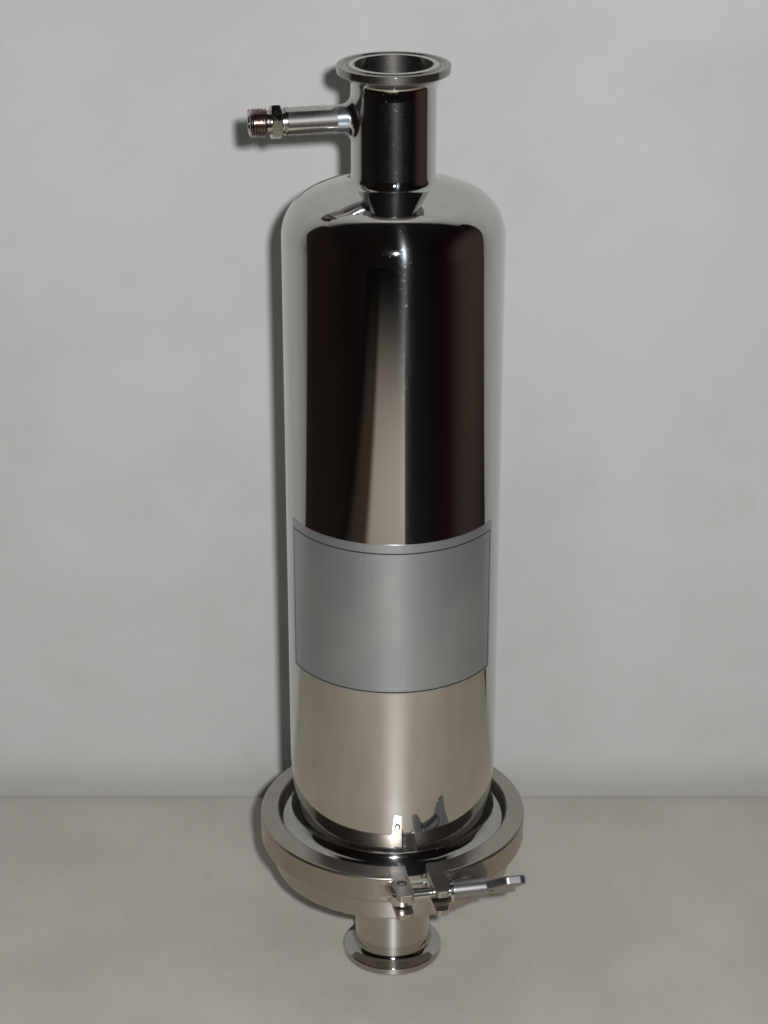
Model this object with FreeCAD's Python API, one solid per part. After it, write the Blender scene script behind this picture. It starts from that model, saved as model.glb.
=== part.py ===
import FreeCAD, Part
import math
import os

from FreeCAD import Vector

# Tank vent filter housing: an upright sanitary vessel standing on its outlet ferrule,
# closed by a hinged clamp with a swing bolt, with a pleated cartridge inside.
# Millimetres. Z is the vessel's axis and z = 0 the outlet face. The vent branch
# points to -X, the clamp closes at -Y and is hinged at +Y.

# Port tube and small ferrules, alike at the inlet and the outlet
PORT_OD = 38.1
PORT_WALL = 1.65
PORT_RIM_OD = 50.5
PORT_FERRULE_LENGTH = 12.7
PORT_RIM_LAND = 3.6
PORT_RIM_EDGE = 0.8
PORT_HUB_FILLET = 4.0
PORT_GROOVE_RADIUS = 21.75

# Vessel shell and large ferrules
SHELL_OD = 101.6
SHELL_WALL = 1.65
BODY_RIM_OVERHANG = 8.7
BODY_FERRULE_LENGTH = 12.7
BODY_GROOVE_INSET = 4.4
BODY_STRAIGHT = 281.5
BODY_HUB_FILLET = 5.0

# The shell is drawn in at its foot, where it meets the ferrule's neck
DRAW_IN = 1.7
DRAW_IN_START = 3.0
DRAW_IN_LENGTH = 20.0
DRAW_IN_FOOT_FILLET = 45.0
DRAW_IN_FILLET = 140.0

# Rim form shared by every ferrule
RIM_LAND = 2.87
RIM_TAPER = math.radians(20.0)
RIM_EDGE = 0.4
HUB_FILLET = 1.5
GROOVE_WIDTH = 2.9
GROOVE_DEPTH = 0.8

# Gasket between the bowl and the base
GASKET_THICKNESS = 2.0
GASKET_BEAD_CLEARANCE = 0.1

# Heights
CLAMP_PLANE = 78.0
NECK_LENGTH = 48.5

# Dome: a knuckle, a crown and a collar pulled out to meet the neck
KNUCKLE_RADIUS = 21.5
CROWN_RADIUS = 93.6
COLLAR_FILLET = 4.5
DOME_SKIRT = 12.0

# Vent branch on the neck
VENT_BELOW_INLET = 23.4
VENT_OD = 12.7
VENT_WALL = 1.65
VENT_SADDLE_FILLET = 5.0
VENT_STUB_REACH = 26.0
VENT_TUBE_REACH = 47.9
VENT_SHOULDER = 2.6
VENT_NECK_DEPTH = 0.9
VENT_HEX_FLATS = 14.0
VENT_HEX_THICKNESS = 4.6
VENT_HEX_TURN = math.radians(48.0)
VENT_RELIEF_LENGTH = 2.3
VENT_RELIEF_DEPTH = 0.9
THREAD_RADIUS = 6.58
THREAD_LENGTH = 7.2
THREAD_CHAMFER = 0.6
VENT_BORE = 7.0

# Base: a ferrule plate, the socket cup welded into it and the drain cone
BASE_OVERHANG = 9.2
BASE_THICKNESS = 11.5
BASE_CLAMP_CLEARANCE = 0.8
BASE_EDGE = 1.2
SOCKET_CLEARANCE = 0.7
SOCKET_WALL = 3.6
SOCKET_DEPTH = 24.0
SOCKET_FLOOR = 3.0
SOCKET_CONE = 5.0
SOCKET_SPIGOT = 3.0

# Bayonet ring on the base plate
BAYONET_CLEARANCE = 1.0
BAYONET_WALL = 5.5
BAYONET_HEIGHT = 9.0
BAYONET_HOOK_THICKNESS = 2.6
BAYONET_HOOK_CLEARANCE = 1.2
BAYONET_HOOK_ANGLE = 40.0
BAYONET_STOP_ANGLE = 4.0

# Clamp halves
CLAMP_BACK = 6.1
CLAMP_LIP_DEPTH = 2.5
CLAMP_LIP_HALF_HEIGHT = 8.4
CLAMP_SIDE_SLOPE = math.radians(8.5)
CLAMP_OUTER_FILLET = 1.6
CLAMP_LIP_FILLET = 0.8
CLAMP_FLANK_GAP = 0.15
CLAMP_RIM_GAP = 0.8
REAR_GAP = 2.0

# Clamp ears
EAR_GAP = 10.4
EAR_THICKNESS = 8.2
EAR_OVERHANG = 14.4
EAR_CORNER = 2.2
EAR_EDGE = 1.0
EAR_ROOT_FILLET = 3.0
SLOT_CLEARANCE = 0.35

# Swing bolt
BOLT_OVERHANG = 3.6
BOLT_DIAMETER = 6.0
BOLT_LENGTH = 41.0
BOLT_END_CHAMFER = 0.6
EYE_RADIUS = 6.0
EYE_THICKNESS = 6.6
EYE_FILLET = 1.2
BOLT_PIN_DIAMETER = 5.0
PIN_RUNNING_GAP = 0.05
PIN_DOME = 0.6
BOLT_PIN_RECESS = 1.2

# Washer and wing nut
SEAT_GAP = 0.3
NUT_CLEARANCE = 0.6
WASHER_RADIUS = 5.7
WASHER_THICKNESS = 1.6
NUT_HUB_RADIUS = 4.9
NUT_HUB_LENGTH = 17.6
NUT_BORE_GAP = 0.05
NUT_HUB_CHAMFER = 0.5
WING_THICKNESS = 4.4
WING_REACH = 15.0
WING_ROOT = 1.5
WING_TIP_LENGTH = 10.8
WING_FLARE = 17.0
WING_CORNER = 3.2
WING_NOTCH = 3.5
WING_RELIEF = 3.0
WING_EDGE_FILLET = 0.9
WING_TILT = 41.0

# Rear hinge
HINGE_OVERHANG = 7.6
HINGE_PIN_DIAMETER = 6.0
KNUCKLE_EYE_RADIUS = 6.5
KNUCKLE_HEIGHT = 13.6
KNUCKLE_MIDDLE = 5.2
KNUCKLE_GAP = 0.3
HINGE_ARM = 9.0

# Cartridge
CARTRIDGE_CLEARANCE = 14.15
CARTRIDGE_LENGTH = 253.0
CARTRIDGE_SEAT_GAP = 0.2
NIPPLE_RADIUS = 27.5
NIPPLE_LENGTH = 20.0
NIPPLE_BORE = 34.0
O_RING_SECTION = 3.5
O_RING_GAP = 0.06
O_RING_SPACING = 8.0
O_RING_FIRST = 5.0
LUG_DEPTH = 5.0
LUG_ANGLE = 26.0
LUG_THICKNESS = 3.4
LUG_GAP = 0.3
LUG_PLAY = 1.0
END_CAP_HEIGHT = 14.0
END_CAP_WALL = 2.0
TOP_CAP_HEIGHT = 12.0
FIN_HEIGHT = 22.0
FIN_WIDTH = 26.0
FIN_THICKNESS = 3.0
CORE_OD = 40.0
CORE_WALL = 2.0
CAGE_WALL = 1.6
PLEAT_COUNT = 48
PLEAT_INNER_RADIUS = 22.0
PLEAT_GAP = 0.6
WINDOW_COLUMNS = 8
WINDOW_ROWS = 9
WINDOW_RIB = 5.0
CORE_WINDOW_WIDTH = 7.0
CAGE_WINDOW_WIDTH = 20.0

ORIGIN = Vector(0, 0, 0)
AXIS = Vector(0, 0, 1)
FULL_TURN = 360.0

# Radii and heights that follow from the sizes above
port_radius = PORT_OD / 2
port_bore = port_radius - PORT_WALL
shell_radius = SHELL_OD / 2
shell_bore = shell_radius - SHELL_WALL
foot_radius = shell_radius - DRAW_IN
foot_bore = foot_radius - SHELL_WALL
body_rim = shell_radius + BODY_RIM_OVERHANG
body_groove = body_rim - BODY_GROOVE_INSET
base_face = CLAMP_PLANE - GASKET_THICKNESS / 2
bowl_face = CLAMP_PLANE + GASKET_THICKNESS / 2
bowl_top = bowl_face + BODY_FERRULE_LENGTH + BODY_STRAIGHT
knuckle_start = bowl_top + DOME_SKIRT
socket_radius = NIPPLE_RADIUS + SOCKET_CLEARANCE
cup_radius = socket_radius + SOCKET_WALL
cup_floor = base_face - SOCKET_DEPTH
cup_bottom = cup_floor - SOCKET_CONE - SOCKET_FLOOR - SOCKET_SPIGOT
clamp_radius = body_rim + CLAMP_RIM_GAP + CLAMP_BACK
lip_radius = body_rim - CLAMP_LIP_DEPTH
ear_reach = clamp_radius + EAR_OVERHANG
ear_half_height = CLAMP_LIP_HALF_HEIGHT - (clamp_radius - lip_radius) * math.tan(CLAMP_SIDE_SLOPE)
hinge_y = clamp_radius + HINGE_OVERHANG
ear_inner = EAR_GAP / 2
ear_outer = ear_inner + EAR_THICKNESS
pin_x = -(ear_inner + ear_outer) / 2
bolt_y = -clamp_radius - BOLT_OVERHANG
crown_radius = ear_outer - pin_x
washer_face = pin_x + crown_radius + SEAT_GAP
nut_face = washer_face + WASHER_THICKNESS
cartridge_radius = shell_bore - CARTRIDGE_CLEARANCE
lug_radius = cartridge_radius + LUG_DEPTH
cartridge_seat = base_face + CARTRIDGE_SEAT_GAP
hook_low = base_face + BAYONET_HEIGHT - BAYONET_HOOK_THICKNESS
lug_top = hook_low - LUG_GAP
pack_low = lug_top + END_CAP_WALL
cartridge_top = cartridge_seat + CARTRIDGE_LENGTH
pack_high = cartridge_top - END_CAP_WALL


def corner(point, before, after, radius):
    """First point, arc and last point of a rounded corner."""
    arm_in = (before - point).normalize()
    arm_out = (after - point).normalize()
    half = arm_in.getAngle(arm_out) / 2
    setback = radius / math.tan(half)
    start = point + arm_in * setback
    end = point + arm_out * setback
    inward = (arm_in + arm_out).normalize()
    middle = point + inward * (radius / math.sin(half) - radius)
    return start, Part.Arc(start, middle, end).toShape(), end


def outline(corners):
    """Closed wire through (point, radius) corners, each rounded by its radius."""
    count = len(corners)
    rounded = []
    for index, (point, radius) in enumerate(corners):
        before = corners[index - 1][0]
        after = corners[(index + 1) % count][0]
        if radius > 0:
            rounded.append(corner(point, before, after, radius))
        else:
            rounded.append((point, None, point))
    edges = []
    for index, (start, arc, end) in enumerate(rounded):
        if arc is not None:
            edges.append(arc)
        following = rounded[(index + 1) % count][0]
        if end.distanceToPoint(following) > 1e-6:
            edges.append(Part.makeLine(end, following))
    return Part.Wire(edges)


def turned(corners):
    """Solid of revolution about Z from (radius, height, fillet) corners."""
    points = [(Vector(radius, 0, height), fillet) for radius, height, fillet in corners]
    return Part.Face(outline(points)).revolve(ORIGIN, AXIS, FULL_TURN)


def tube(outer, inner, low, high):
    """Straight round tube on the Z axis."""
    return turned([(inner, low, 0), (outer, low, 0), (outer, high, 0), (inner, high, 0)])


def along_x(shape, start, height):
    """Lays a part made upright on Z along +X, from a start point's x and y."""
    laid = shape.copy()
    laid.rotate(ORIGIN, Vector(0, 1, 0), 90)
    laid.translate(Vector(start[0], start[1], height))
    return laid


def block(low, high):
    """Box between two corners."""
    size = high - low
    return Part.makeBox(size.x, size.y, size.z, low)


def sector(inner, outer, low, high, start, sweep):
    """Part of a ring between two angles in degrees."""
    corners = [(inner, low, 0), (outer, low, 0), (outer, high, 0), (inner, high, 0)]
    points = [(Vector(radius, 0, height), fillet) for radius, height, fillet in corners]
    ring = Part.Face(outline(points)).revolve(ORIGIN, AXIS, sweep)
    ring.rotate(ORIGIN, AXIS, start)
    return ring


def shoulder(rim, land, neck):
    """Distance from a gasket face to where the rim's tapered back meets the neck."""
    return land + (rim - neck) * math.tan(RIM_TAPER)


def ferrule(face, up, bore, groove, rim, hub):
    """Ferrule turned from bar: gasket groove, rim and weld neck.

    face is the height of the gasket face and up is 1 or -1, the way the neck points. rim is its
    radius, land and edge, and hub the neck's corners as radius, distance from the face and fillet.
    """
    rim_radius, land, edge = rim
    half_groove = GROOVE_WIDTH / 2
    corners = [
        (bore, 0, 0),
        (groove - half_groove, 0, 0),
        (groove - half_groove / 2, GROOVE_DEPTH, GROOVE_DEPTH / 3),
        (groove + half_groove / 2, GROOVE_DEPTH, GROOVE_DEPTH / 3),
        (groove + half_groove, 0, 0),
        (rim_radius, 0, RIM_EDGE),
        (rim_radius, land, edge),
        *hub,
        (bore, hub[-1][1], 0),
    ]
    return turned([(radius, face + up * height, fillet) for radius, height, fillet in corners])


def port_ferrule(face, up):
    """Small ferrule of the inlet or the outlet."""
    rim = (PORT_RIM_OD / 2, PORT_RIM_LAND, PORT_RIM_EDGE)
    hub = [
        (port_radius, shoulder(PORT_RIM_OD / 2, PORT_RIM_LAND, port_radius), PORT_HUB_FILLET),
        (port_radius, PORT_FERRULE_LENGTH, 0),
    ]
    return ferrule(face, up, port_bore, PORT_GROOVE_RADIUS, rim, hub)


def make_bowl_flange():
    """Large ferrule at the shell's foot, with a neck as wide as the drawn-in shell."""
    hub = [
        (foot_radius, shoulder(body_rim, RIM_LAND, foot_radius), BODY_HUB_FILLET),
        (foot_radius, BODY_FERRULE_LENGTH, 0),
    ]
    return ferrule(bowl_face, 1, foot_bore, body_groove, (body_rim, RIM_LAND, RIM_EDGE), hub)


def make_bowl_tube():
    """Shell, with its foot drawn in to the ferrule's neck."""
    low = bowl_face + BODY_FERRULE_LENGTH
    narrow = low + DRAW_IN_START
    wide = narrow + DRAW_IN_LENGTH
    return turned([
        (foot_radius, low, 0),
        (foot_radius, narrow, DRAW_IN_FOOT_FILLET),
        (shell_radius, wide, DRAW_IN_FILLET),
        (shell_radius, bowl_top, 0),
        (shell_bore, bowl_top, 0),
        (shell_bore, wide, DRAW_IN_FILLET),
        (foot_bore, narrow, DRAW_IN_FOOT_FILLET),
        (foot_bore, low, 0),
    ])


def arc_edge(centre, radius, start, end):
    """Arc in the XZ plane between two angles in radians."""
    points = []
    for angle in (start, (start + end) / 2, end):
        reach = Vector(math.cos(angle), 0, math.sin(angle)) * radius
        points.append(centre + reach)
    return Part.Arc(*points).toShape()


# Centres of the dome's three arcs, tangent to the shell, to each other and to the neck
knuckle_centre = Vector(shell_radius - KNUCKLE_RADIUS, 0, knuckle_start)
crown_rise = math.sqrt((CROWN_RADIUS - KNUCKLE_RADIUS) ** 2 - knuckle_centre.x ** 2)
crown_centre = Vector(0, 0, knuckle_start - crown_rise)
fillet_x = port_radius + COLLAR_FILLET
fillet_rise = math.sqrt((CROWN_RADIUS + COLLAR_FILLET) ** 2 - fillet_x ** 2)
fillet_centre = Vector(fillet_x, 0, crown_centre.z + fillet_rise)
neck_start = fillet_centre.z
inlet_face = neck_start + NECK_LENGTH
vent_height = inlet_face - VENT_BELOW_INLET


def dome_line(inset):
    """Outer edge of the dome moved inwards by inset, from the skirt up to the neck."""
    knuckle_angle = math.atan2(crown_rise, knuckle_centre.x)
    fillet_angle = math.atan2(fillet_rise, fillet_x)
    skirt = Part.makeLine(
        Vector(shell_radius - inset, 0, bowl_top),
        Vector(shell_radius - inset, 0, knuckle_start),
    )
    knuckle = arc_edge(knuckle_centre, KNUCKLE_RADIUS - inset, 0, knuckle_angle)
    crown = arc_edge(crown_centre, CROWN_RADIUS - inset, knuckle_angle, fillet_angle)
    collar = arc_edge(fillet_centre, COLLAR_FILLET + inset, math.pi + fillet_angle, math.pi)
    return [skirt, knuckle, crown, collar]


def make_dome_head():
    """Pressed head with its collar pulled out for the neck."""
    outside = dome_line(0)
    inside = dome_line(SHELL_WALL)
    foot = Part.makeLine(inside[0].Vertexes[0].Point, outside[0].Vertexes[0].Point)
    rim = Part.makeLine(
        Vector(port_radius, 0, neck_start),
        Vector(port_radius - SHELL_WALL, 0, neck_start),
    )
    section = Part.Wire(Part.__sortEdges__(outside + inside + [foot, rim]))
    return Part.Face(section).revolve(ORIGIN, AXIS, FULL_TURN)


def make_inlet_tube():
    """Neck tube with a collar drawn out sideways for the vent branch."""
    top = inlet_face - PORT_FERRULE_LENGTH
    neck = Part.makeCylinder(port_radius, top - neck_start, Vector(0, 0, neck_start))
    branch = Part.makeCylinder(VENT_OD / 2, VENT_STUB_REACH, Vector(0, 0, vent_height), Vector(-1, 0, 0))
    body = neck.fuse(branch)
    saddle = [edge for edge in body.Edges if isinstance(edge.Curve, Part.BSplineCurve)]
    body = body.makeFillet(VENT_SADDLE_FILLET, saddle)
    bore = Part.makeCylinder(port_bore, top - neck_start, Vector(0, 0, neck_start))
    passage = Part.makeCylinder(
        VENT_OD / 2 - VENT_WALL, VENT_STUB_REACH, Vector(0, 0, vent_height), Vector(-1, 0, 0)
    )
    return body.cut(bore.fuse(passage))


def vent_part(shape):
    """Turns a part made upright on Z to lie along the vent branch, pointing to -X."""
    laid = shape.copy()
    laid.rotate(ORIGIN, Vector(0, 1, 0), -90)
    laid.translate(Vector(0, 0, vent_height))
    return laid


def make_vent_tube():
    """Vent branch between the drawn collar and the threaded connector."""
    outer = VENT_OD / 2
    return vent_part(tube(outer, outer - VENT_WALL, VENT_STUB_REACH, VENT_TUBE_REACH))


def make_vent_connector():
    """Weld-on male connector: shoulder, hexagon, relief and threaded spigot."""
    outer = VENT_OD / 2
    hex_start = VENT_TUBE_REACH + VENT_SHOULDER
    hex_end = hex_start + VENT_HEX_THICKNESS
    thread_start = hex_end + VENT_RELIEF_LENGTH
    end = thread_start + THREAD_LENGTH
    relief = THREAD_RADIUS - VENT_RELIEF_DEPTH
    spigot = turned([
        (0, VENT_TUBE_REACH, 0),
        (outer, VENT_TUBE_REACH, 0),
        (outer, VENT_TUBE_REACH + VENT_SHOULDER / 2, 0),
        (outer - VENT_NECK_DEPTH, VENT_TUBE_REACH + VENT_SHOULDER / 2, 0),
        (outer - VENT_NECK_DEPTH, hex_start, 0),
        (relief, hex_end, 0),
        (relief, thread_start, 0),
        (THREAD_RADIUS, thread_start, 0),
        (THREAD_RADIUS, end - THREAD_CHAMFER, 0),
        (THREAD_RADIUS - THREAD_CHAMFER, end, 0),
        (0, end, 0),
    ])
    across_corners = VENT_HEX_FLATS / math.cos(math.pi / 6)
    hexagon = []
    for index in range(6):
        angle = VENT_HEX_TURN + index * math.pi / 3
        reach = Vector(math.cos(angle), math.sin(angle), 0) * (across_corners / 2)
        hexagon.append((reach + Vector(0, 0, hex_start), 0))
    nut = Part.Face(outline(hexagon)).extrude(AXIS * VENT_HEX_THICKNESS)
    envelope = turned([
        (0, hex_start, 0),
        (outer, hex_start, 0),
        (across_corners / 2, hex_start + (across_corners / 2 - outer), 0),
        (across_corners / 2, hex_end - THREAD_CHAMFER, 0),
        (VENT_HEX_FLATS / 2, hex_end, 0),
        (0, hex_end, 0),
    ])
    bore = Part.makeCylinder(VENT_BORE / 2, end - VENT_TUBE_REACH, Vector(0, 0, VENT_TUBE_REACH))
    connector = spigot.fuse(nut.common(envelope)).cut(bore)
    return vent_part(connector.removeSplitter())


def make_base_flange():
    """Thick base disc under the bowl, with its ferrule rim and the hole that takes the socket cup."""
    neck = lip_radius - HUB_FILLET
    half_groove = GROOVE_WIDTH / 2
    base_radius = shell_radius + BASE_OVERHANG
    disc_top = CLAMP_PLANE - CLAMP_LIP_HALF_HEIGHT - BASE_CLAMP_CLEARANCE
    underside = disc_top - BASE_THICKNESS
    return turned([
        (cup_radius, base_face, 0),
        (body_groove - half_groove, base_face, 0),
        (body_groove - half_groove / 2, base_face - GROOVE_DEPTH, GROOVE_DEPTH / 3),
        (body_groove + half_groove / 2, base_face - GROOVE_DEPTH, GROOVE_DEPTH / 3),
        (body_groove + half_groove, base_face, 0),
        (body_rim, base_face, RIM_EDGE),
        (body_rim, base_face - RIM_LAND, RIM_EDGE),
        (neck, base_face - shoulder(body_rim, RIM_LAND, neck), 0),
        (neck, disc_top, RIM_EDGE),
        (base_radius, disc_top, RIM_EDGE),
        (base_radius, underside, BASE_EDGE),
        (cup_radius, underside, 0),
    ])


def make_socket_cup():
    """Turned socket for the cartridge nipple, with a coned floor to the outlet."""
    lead_in = PORT_WALL
    return turned([
        (socket_radius, cup_floor, 0),
        (socket_radius, base_face - lead_in, 0),
        (socket_radius + lead_in / 2, base_face, 0),
        (cup_radius, base_face, 0),
        (cup_radius, cup_floor - SOCKET_FLOOR, HUB_FILLET),
        (port_radius, cup_bottom + SOCKET_SPIGOT, 0),
        (port_radius, cup_bottom, 0),
        (port_bore, cup_bottom, 0),
        (port_bore, cup_floor - SOCKET_CONE, 0),
        (socket_radius - SOCKET_WALL, cup_floor, 0),
    ])


def make_bayonet_ring():
    """Ring welded on the plate, with two hooks that hold the cartridge's lugs."""
    inner = lug_radius + BAYONET_CLEARANCE
    outer = inner + BAYONET_WALL
    top = base_face + BAYONET_HEIGHT
    ring = tube(outer, inner, base_face, top)
    stop_offset = LUG_ANGLE / 2 + LUG_PLAY + BAYONET_STOP_ANGLE
    reach = cartridge_radius + BAYONET_HOOK_CLEARANCE
    for side in (0, 180):
        start = side - stop_offset
        hook = sector(reach, inner + 1, hook_low, top, start, BAYONET_HOOK_ANGLE)
        stop = sector(reach, inner + 1, base_face, hook_low + 1, start, BAYONET_STOP_ANGLE)
        ring = ring.fuse([hook, stop])
    return ring.removeSplitter()


def make_body_gasket():
    """Flat ring gasket with a bead on each face that sits in the ferrules' grooves."""
    half_bead = GROOVE_WIDTH / 4 - GASKET_BEAD_CLEARANCE
    foot = GROOVE_WIDTH / 2 - GASKET_BEAD_CLEARANCE * 2
    rise = GROOVE_DEPTH - GASKET_BEAD_CLEARANCE
    top = [
        (body_rim - RIM_EDGE, bowl_face, 0),
        (body_groove + foot, bowl_face, 0),
        (body_groove + half_bead, bowl_face + rise, 0),
        (body_groove - half_bead, bowl_face + rise, 0),
        (body_groove - foot, bowl_face, 0),
        (foot_bore, bowl_face, 0),
    ]
    bottom = [(radius, 2 * CLAMP_PLANE - height, 0) for radius, height, _ in reversed(top)]
    return turned(top + bottom)


def make_clamp_ring():
    """Full turned ring that both halves are cut from, before its groove is cut."""
    upper = [
        (lip_radius, CLAMP_LIP_HALF_HEIGHT, CLAMP_LIP_FILLET),
        (clamp_radius, ear_half_height, CLAMP_OUTER_FILLET),
    ]
    lower = [(radius, -height, fillet) for radius, height, fillet in reversed(upper)]
    return turned([(radius, CLAMP_PLANE + height, fillet) for radius, height, fillet in upper + lower])


def make_clamp_groove():
    """Space that the two ferrule rims take up inside the clamp, with its clearance."""
    rim = body_rim + CLAMP_RIM_GAP
    half_rim = GASKET_THICKNESS / 2 + RIM_LAND + CLAMP_FLANK_GAP
    back = math.tan(RIM_TAPER)
    land_height = half_rim - CLAMP_RIM_GAP * back
    lip_height = half_rim + (body_rim - lip_radius) * back
    return turned([
        (0, CLAMP_PLANE - lip_height, 0),
        (lip_radius, CLAMP_PLANE - lip_height, 0),
        (rim, CLAMP_PLANE - land_height, RIM_EDGE),
        (rim, CLAMP_PLANE + land_height, RIM_EDGE),
        (lip_radius, CLAMP_PLANE + lip_height, 0),
        (0, CLAMP_PLANE + lip_height, 0),
    ])


def make_ear(side, thickness):
    """Lug at the front of a clamp half, as high as the ring's outer wall."""
    profile = outline([
        (Vector(0, -lip_radius, CLAMP_PLANE - CLAMP_LIP_HALF_HEIGHT), 0),
        (Vector(0, -lip_radius, CLAMP_PLANE + CLAMP_LIP_HALF_HEIGHT), 0),
        (Vector(0, -clamp_radius, CLAMP_PLANE + ear_half_height), 0),
        (Vector(0, -ear_reach, CLAMP_PLANE + ear_half_height), EAR_EDGE),
        (Vector(0, -ear_reach, CLAMP_PLANE - ear_half_height), EAR_EDGE),
        (Vector(0, -clamp_radius, CLAMP_PLANE - ear_half_height), 0),
    ])
    lug = Part.Face(profile).extrude(Vector(thickness, 0, 0))
    start = ear_inner if side > 0 else -ear_inner - thickness
    lug.translate(Vector(start, 0, 0))
    plan = outline([
        (Vector(start, 0, 0), 0),
        (Vector(start + thickness, 0, 0), 0),
        (Vector(start + thickness, -ear_reach, 0), EAR_CORNER),
        (Vector(start, -ear_reach, 0), EAR_CORNER),
    ])
    return lug.common(Part.Face(plan).extrude(AXIS * (CLAMP_PLANE * 2)))


def make_root_fillet(side):
    """Concave blend in plan between an ear's outer side and the ring's wall."""
    face = side * ear_outer
    radius = clamp_radius + EAR_ROOT_FILLET
    centre_x = abs(face) + EAR_ROOT_FILLET
    centre_y = -math.sqrt(radius ** 2 - centre_x ** 2)
    touch_y = centre_y * clamp_radius / radius
    touch_x = centre_x * clamp_radius / radius
    half = ear_half_height - CLAMP_OUTER_FILLET
    points = [
        Vector(side * (abs(face) - 1), centre_y, 0),
        Vector(face, centre_y, 0),
        Vector(side * touch_x, touch_y, 0),
        Vector(side * touch_x, touch_y + 2, 0),
        Vector(side * (abs(face) - 1), touch_y + 2, 0),
    ]
    centre = Vector(side * centre_x, centre_y, 0)
    inward = (points[1] + points[2]) / 2 - centre
    middle = centre + inward.normalize() * EAR_ROOT_FILLET
    edges = [
        Part.makeLine(points[0], points[1]),
        Part.Arc(points[1], middle, points[2]).toShape(),
        Part.makeLine(points[2], points[3]),
        Part.makeLine(points[3], points[4]),
        Part.makeLine(points[4], points[0]),
    ]
    blend = Part.Face(Part.Wire(edges)).extrude(AXIS * (2 * half))
    blend.translate(Vector(0, 0, CLAMP_PLANE - half))
    return blend


def make_hinge_eye(side, low, high):
    """Hinge knuckle and the arm that joins it to the ring on one side."""
    pin = Vector(0, hinge_y, low)
    eye = Part.makeCylinder(KNUCKLE_EYE_RADIUS, high - low, pin)
    ring_y = math.sqrt((clamp_radius - CLAMP_OUTER_FILLET) ** 2 - (HINGE_ARM * 2) ** 2)
    arm_points = [
        Vector(0, hinge_y + KNUCKLE_EYE_RADIUS, low),
        Vector(side * HINGE_ARM * 2, ring_y, low),
        Vector(side * HINGE_ARM, body_rim + CLAMP_RIM_GAP * 2, low),
        Vector(0, body_rim + CLAMP_RIM_GAP * 2, low),
    ]
    arm = Part.Face(outline([(point, 0) for point in arm_points])).extrude(AXIS * (high - low))
    return eye.fuse(arm)


def make_clamp_half(side):
    """Clamp half on one side: side is 1 for +X and -1 for -X."""
    half_knuckle = KNUCKLE_HEIGHT / 2
    half_middle = KNUCKLE_MIDDLE / 2
    low = CLAMP_PLANE - half_knuckle
    high = CLAMP_PLANE + half_knuckle
    middle_low = CLAMP_PLANE - half_middle
    middle_high = CLAMP_PLANE + half_middle
    far = ear_reach * 2
    front = block(Vector(ear_inner, -far, 0), Vector(far, 0, far * 2))
    rear = block(Vector(REAR_GAP / 2, -1, 0), Vector(far, far, far * 2))
    keep = front.fuse(rear)
    if side < 0:
        keep = keep.mirror(ORIGIN, Vector(1, 0, 0))
    half = make_clamp_ring().common(keep)
    half = half.fuse([make_ear(side, EAR_THICKNESS), make_root_fillet(side)])
    if side > 0:
        eyes = [make_hinge_eye(side, middle_low, middle_high)]
        gaps = [(low - 1, middle_low), (middle_high, high + 1)]
    else:
        eyes = [
            make_hinge_eye(side, low, middle_low - KNUCKLE_GAP),
            make_hinge_eye(side, middle_high + KNUCKLE_GAP, high),
        ]
        gaps = [(middle_low - KNUCKLE_GAP, middle_high + KNUCKLE_GAP)]
    clear_radius = KNUCKLE_EYE_RADIUS + KNUCKLE_GAP
    for gap_low, gap_high in gaps:
        room = Part.makeCylinder(clear_radius, gap_high - gap_low, Vector(0, hinge_y, gap_low))
        half = half.cut(room)
    half = half.fuse(eyes)
    pin_hole = HINGE_PIN_DIAMETER / 2 + (PIN_RUNNING_GAP if side > 0 else 0)
    half = half.cut(Part.makeCylinder(pin_hole, KNUCKLE_HEIGHT + 2, Vector(0, hinge_y, low - 1)))
    half = half.cut(make_clamp_groove())
    return half.cut(ear_slot(side)).removeSplitter()


def ear_slot(side):
    """Room in an ear for the eye of the swing bolt or for its shank."""
    half_slot = EYE_THICKNESS / 2 + SLOT_CLEARANCE
    if side > 0:
        end_radius = BOLT_DIAMETER / 2 + SLOT_CLEARANCE
        crown = Part.makeCylinder(crown_radius, CLAMP_PLANE * 2, Vector(pin_x, bolt_y, 0))
        seat_edge = bolt_y + WASHER_RADIUS + NUT_CLEARANCE
        front = block(Vector(0, -ear_reach - 1, 0), Vector(crown_radius * 2, seat_edge, CLAMP_PLANE * 2))
        extra = front.cut(crown)
    else:
        end_radius = EYE_RADIUS + SLOT_CLEARANCE
        extra = Part.makeCylinder(BOLT_PIN_DIAMETER / 2, CLAMP_PLANE * 2, Vector(pin_x, bolt_y, 0))
    reach = ear_outer + EYE_RADIUS
    slot = block(
        Vector(0, -ear_reach - 1, CLAMP_PLANE - half_slot),
        Vector(reach, bolt_y + end_radius, CLAMP_PLANE + half_slot),
    )
    if side < 0:
        slot = slot.mirror(ORIGIN, Vector(1, 0, 0))
    return slot.fuse(extra)


def domed_pin(radius, low, high, x, y):
    """Upright pin with peened domed ends."""
    pin = turned([
        (0, low - PIN_DOME, 0),
        (radius * 0.6, low - PIN_DOME, 0),
        (radius, low, 0),
        (radius, high, 0),
        (radius * 0.6, high + PIN_DOME, 0),
        (0, high + PIN_DOME, 0),
    ])
    pin.translate(Vector(x, y, 0))
    return pin


def make_hinge_pin():
    """Pin of the rear hinge."""
    half = KNUCKLE_HEIGHT / 2
    return domed_pin(HINGE_PIN_DIAMETER / 2, CLAMP_PLANE - half, CLAMP_PLANE + half, 0, hinge_y)


def make_bolt_pin():
    """Pin that carries the eye of the swing bolt."""
    half = ear_half_height - BOLT_PIN_RECESS
    return domed_pin(BOLT_PIN_DIAMETER / 2, CLAMP_PLANE - half, CLAMP_PLANE + half, pin_x, bolt_y)


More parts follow.
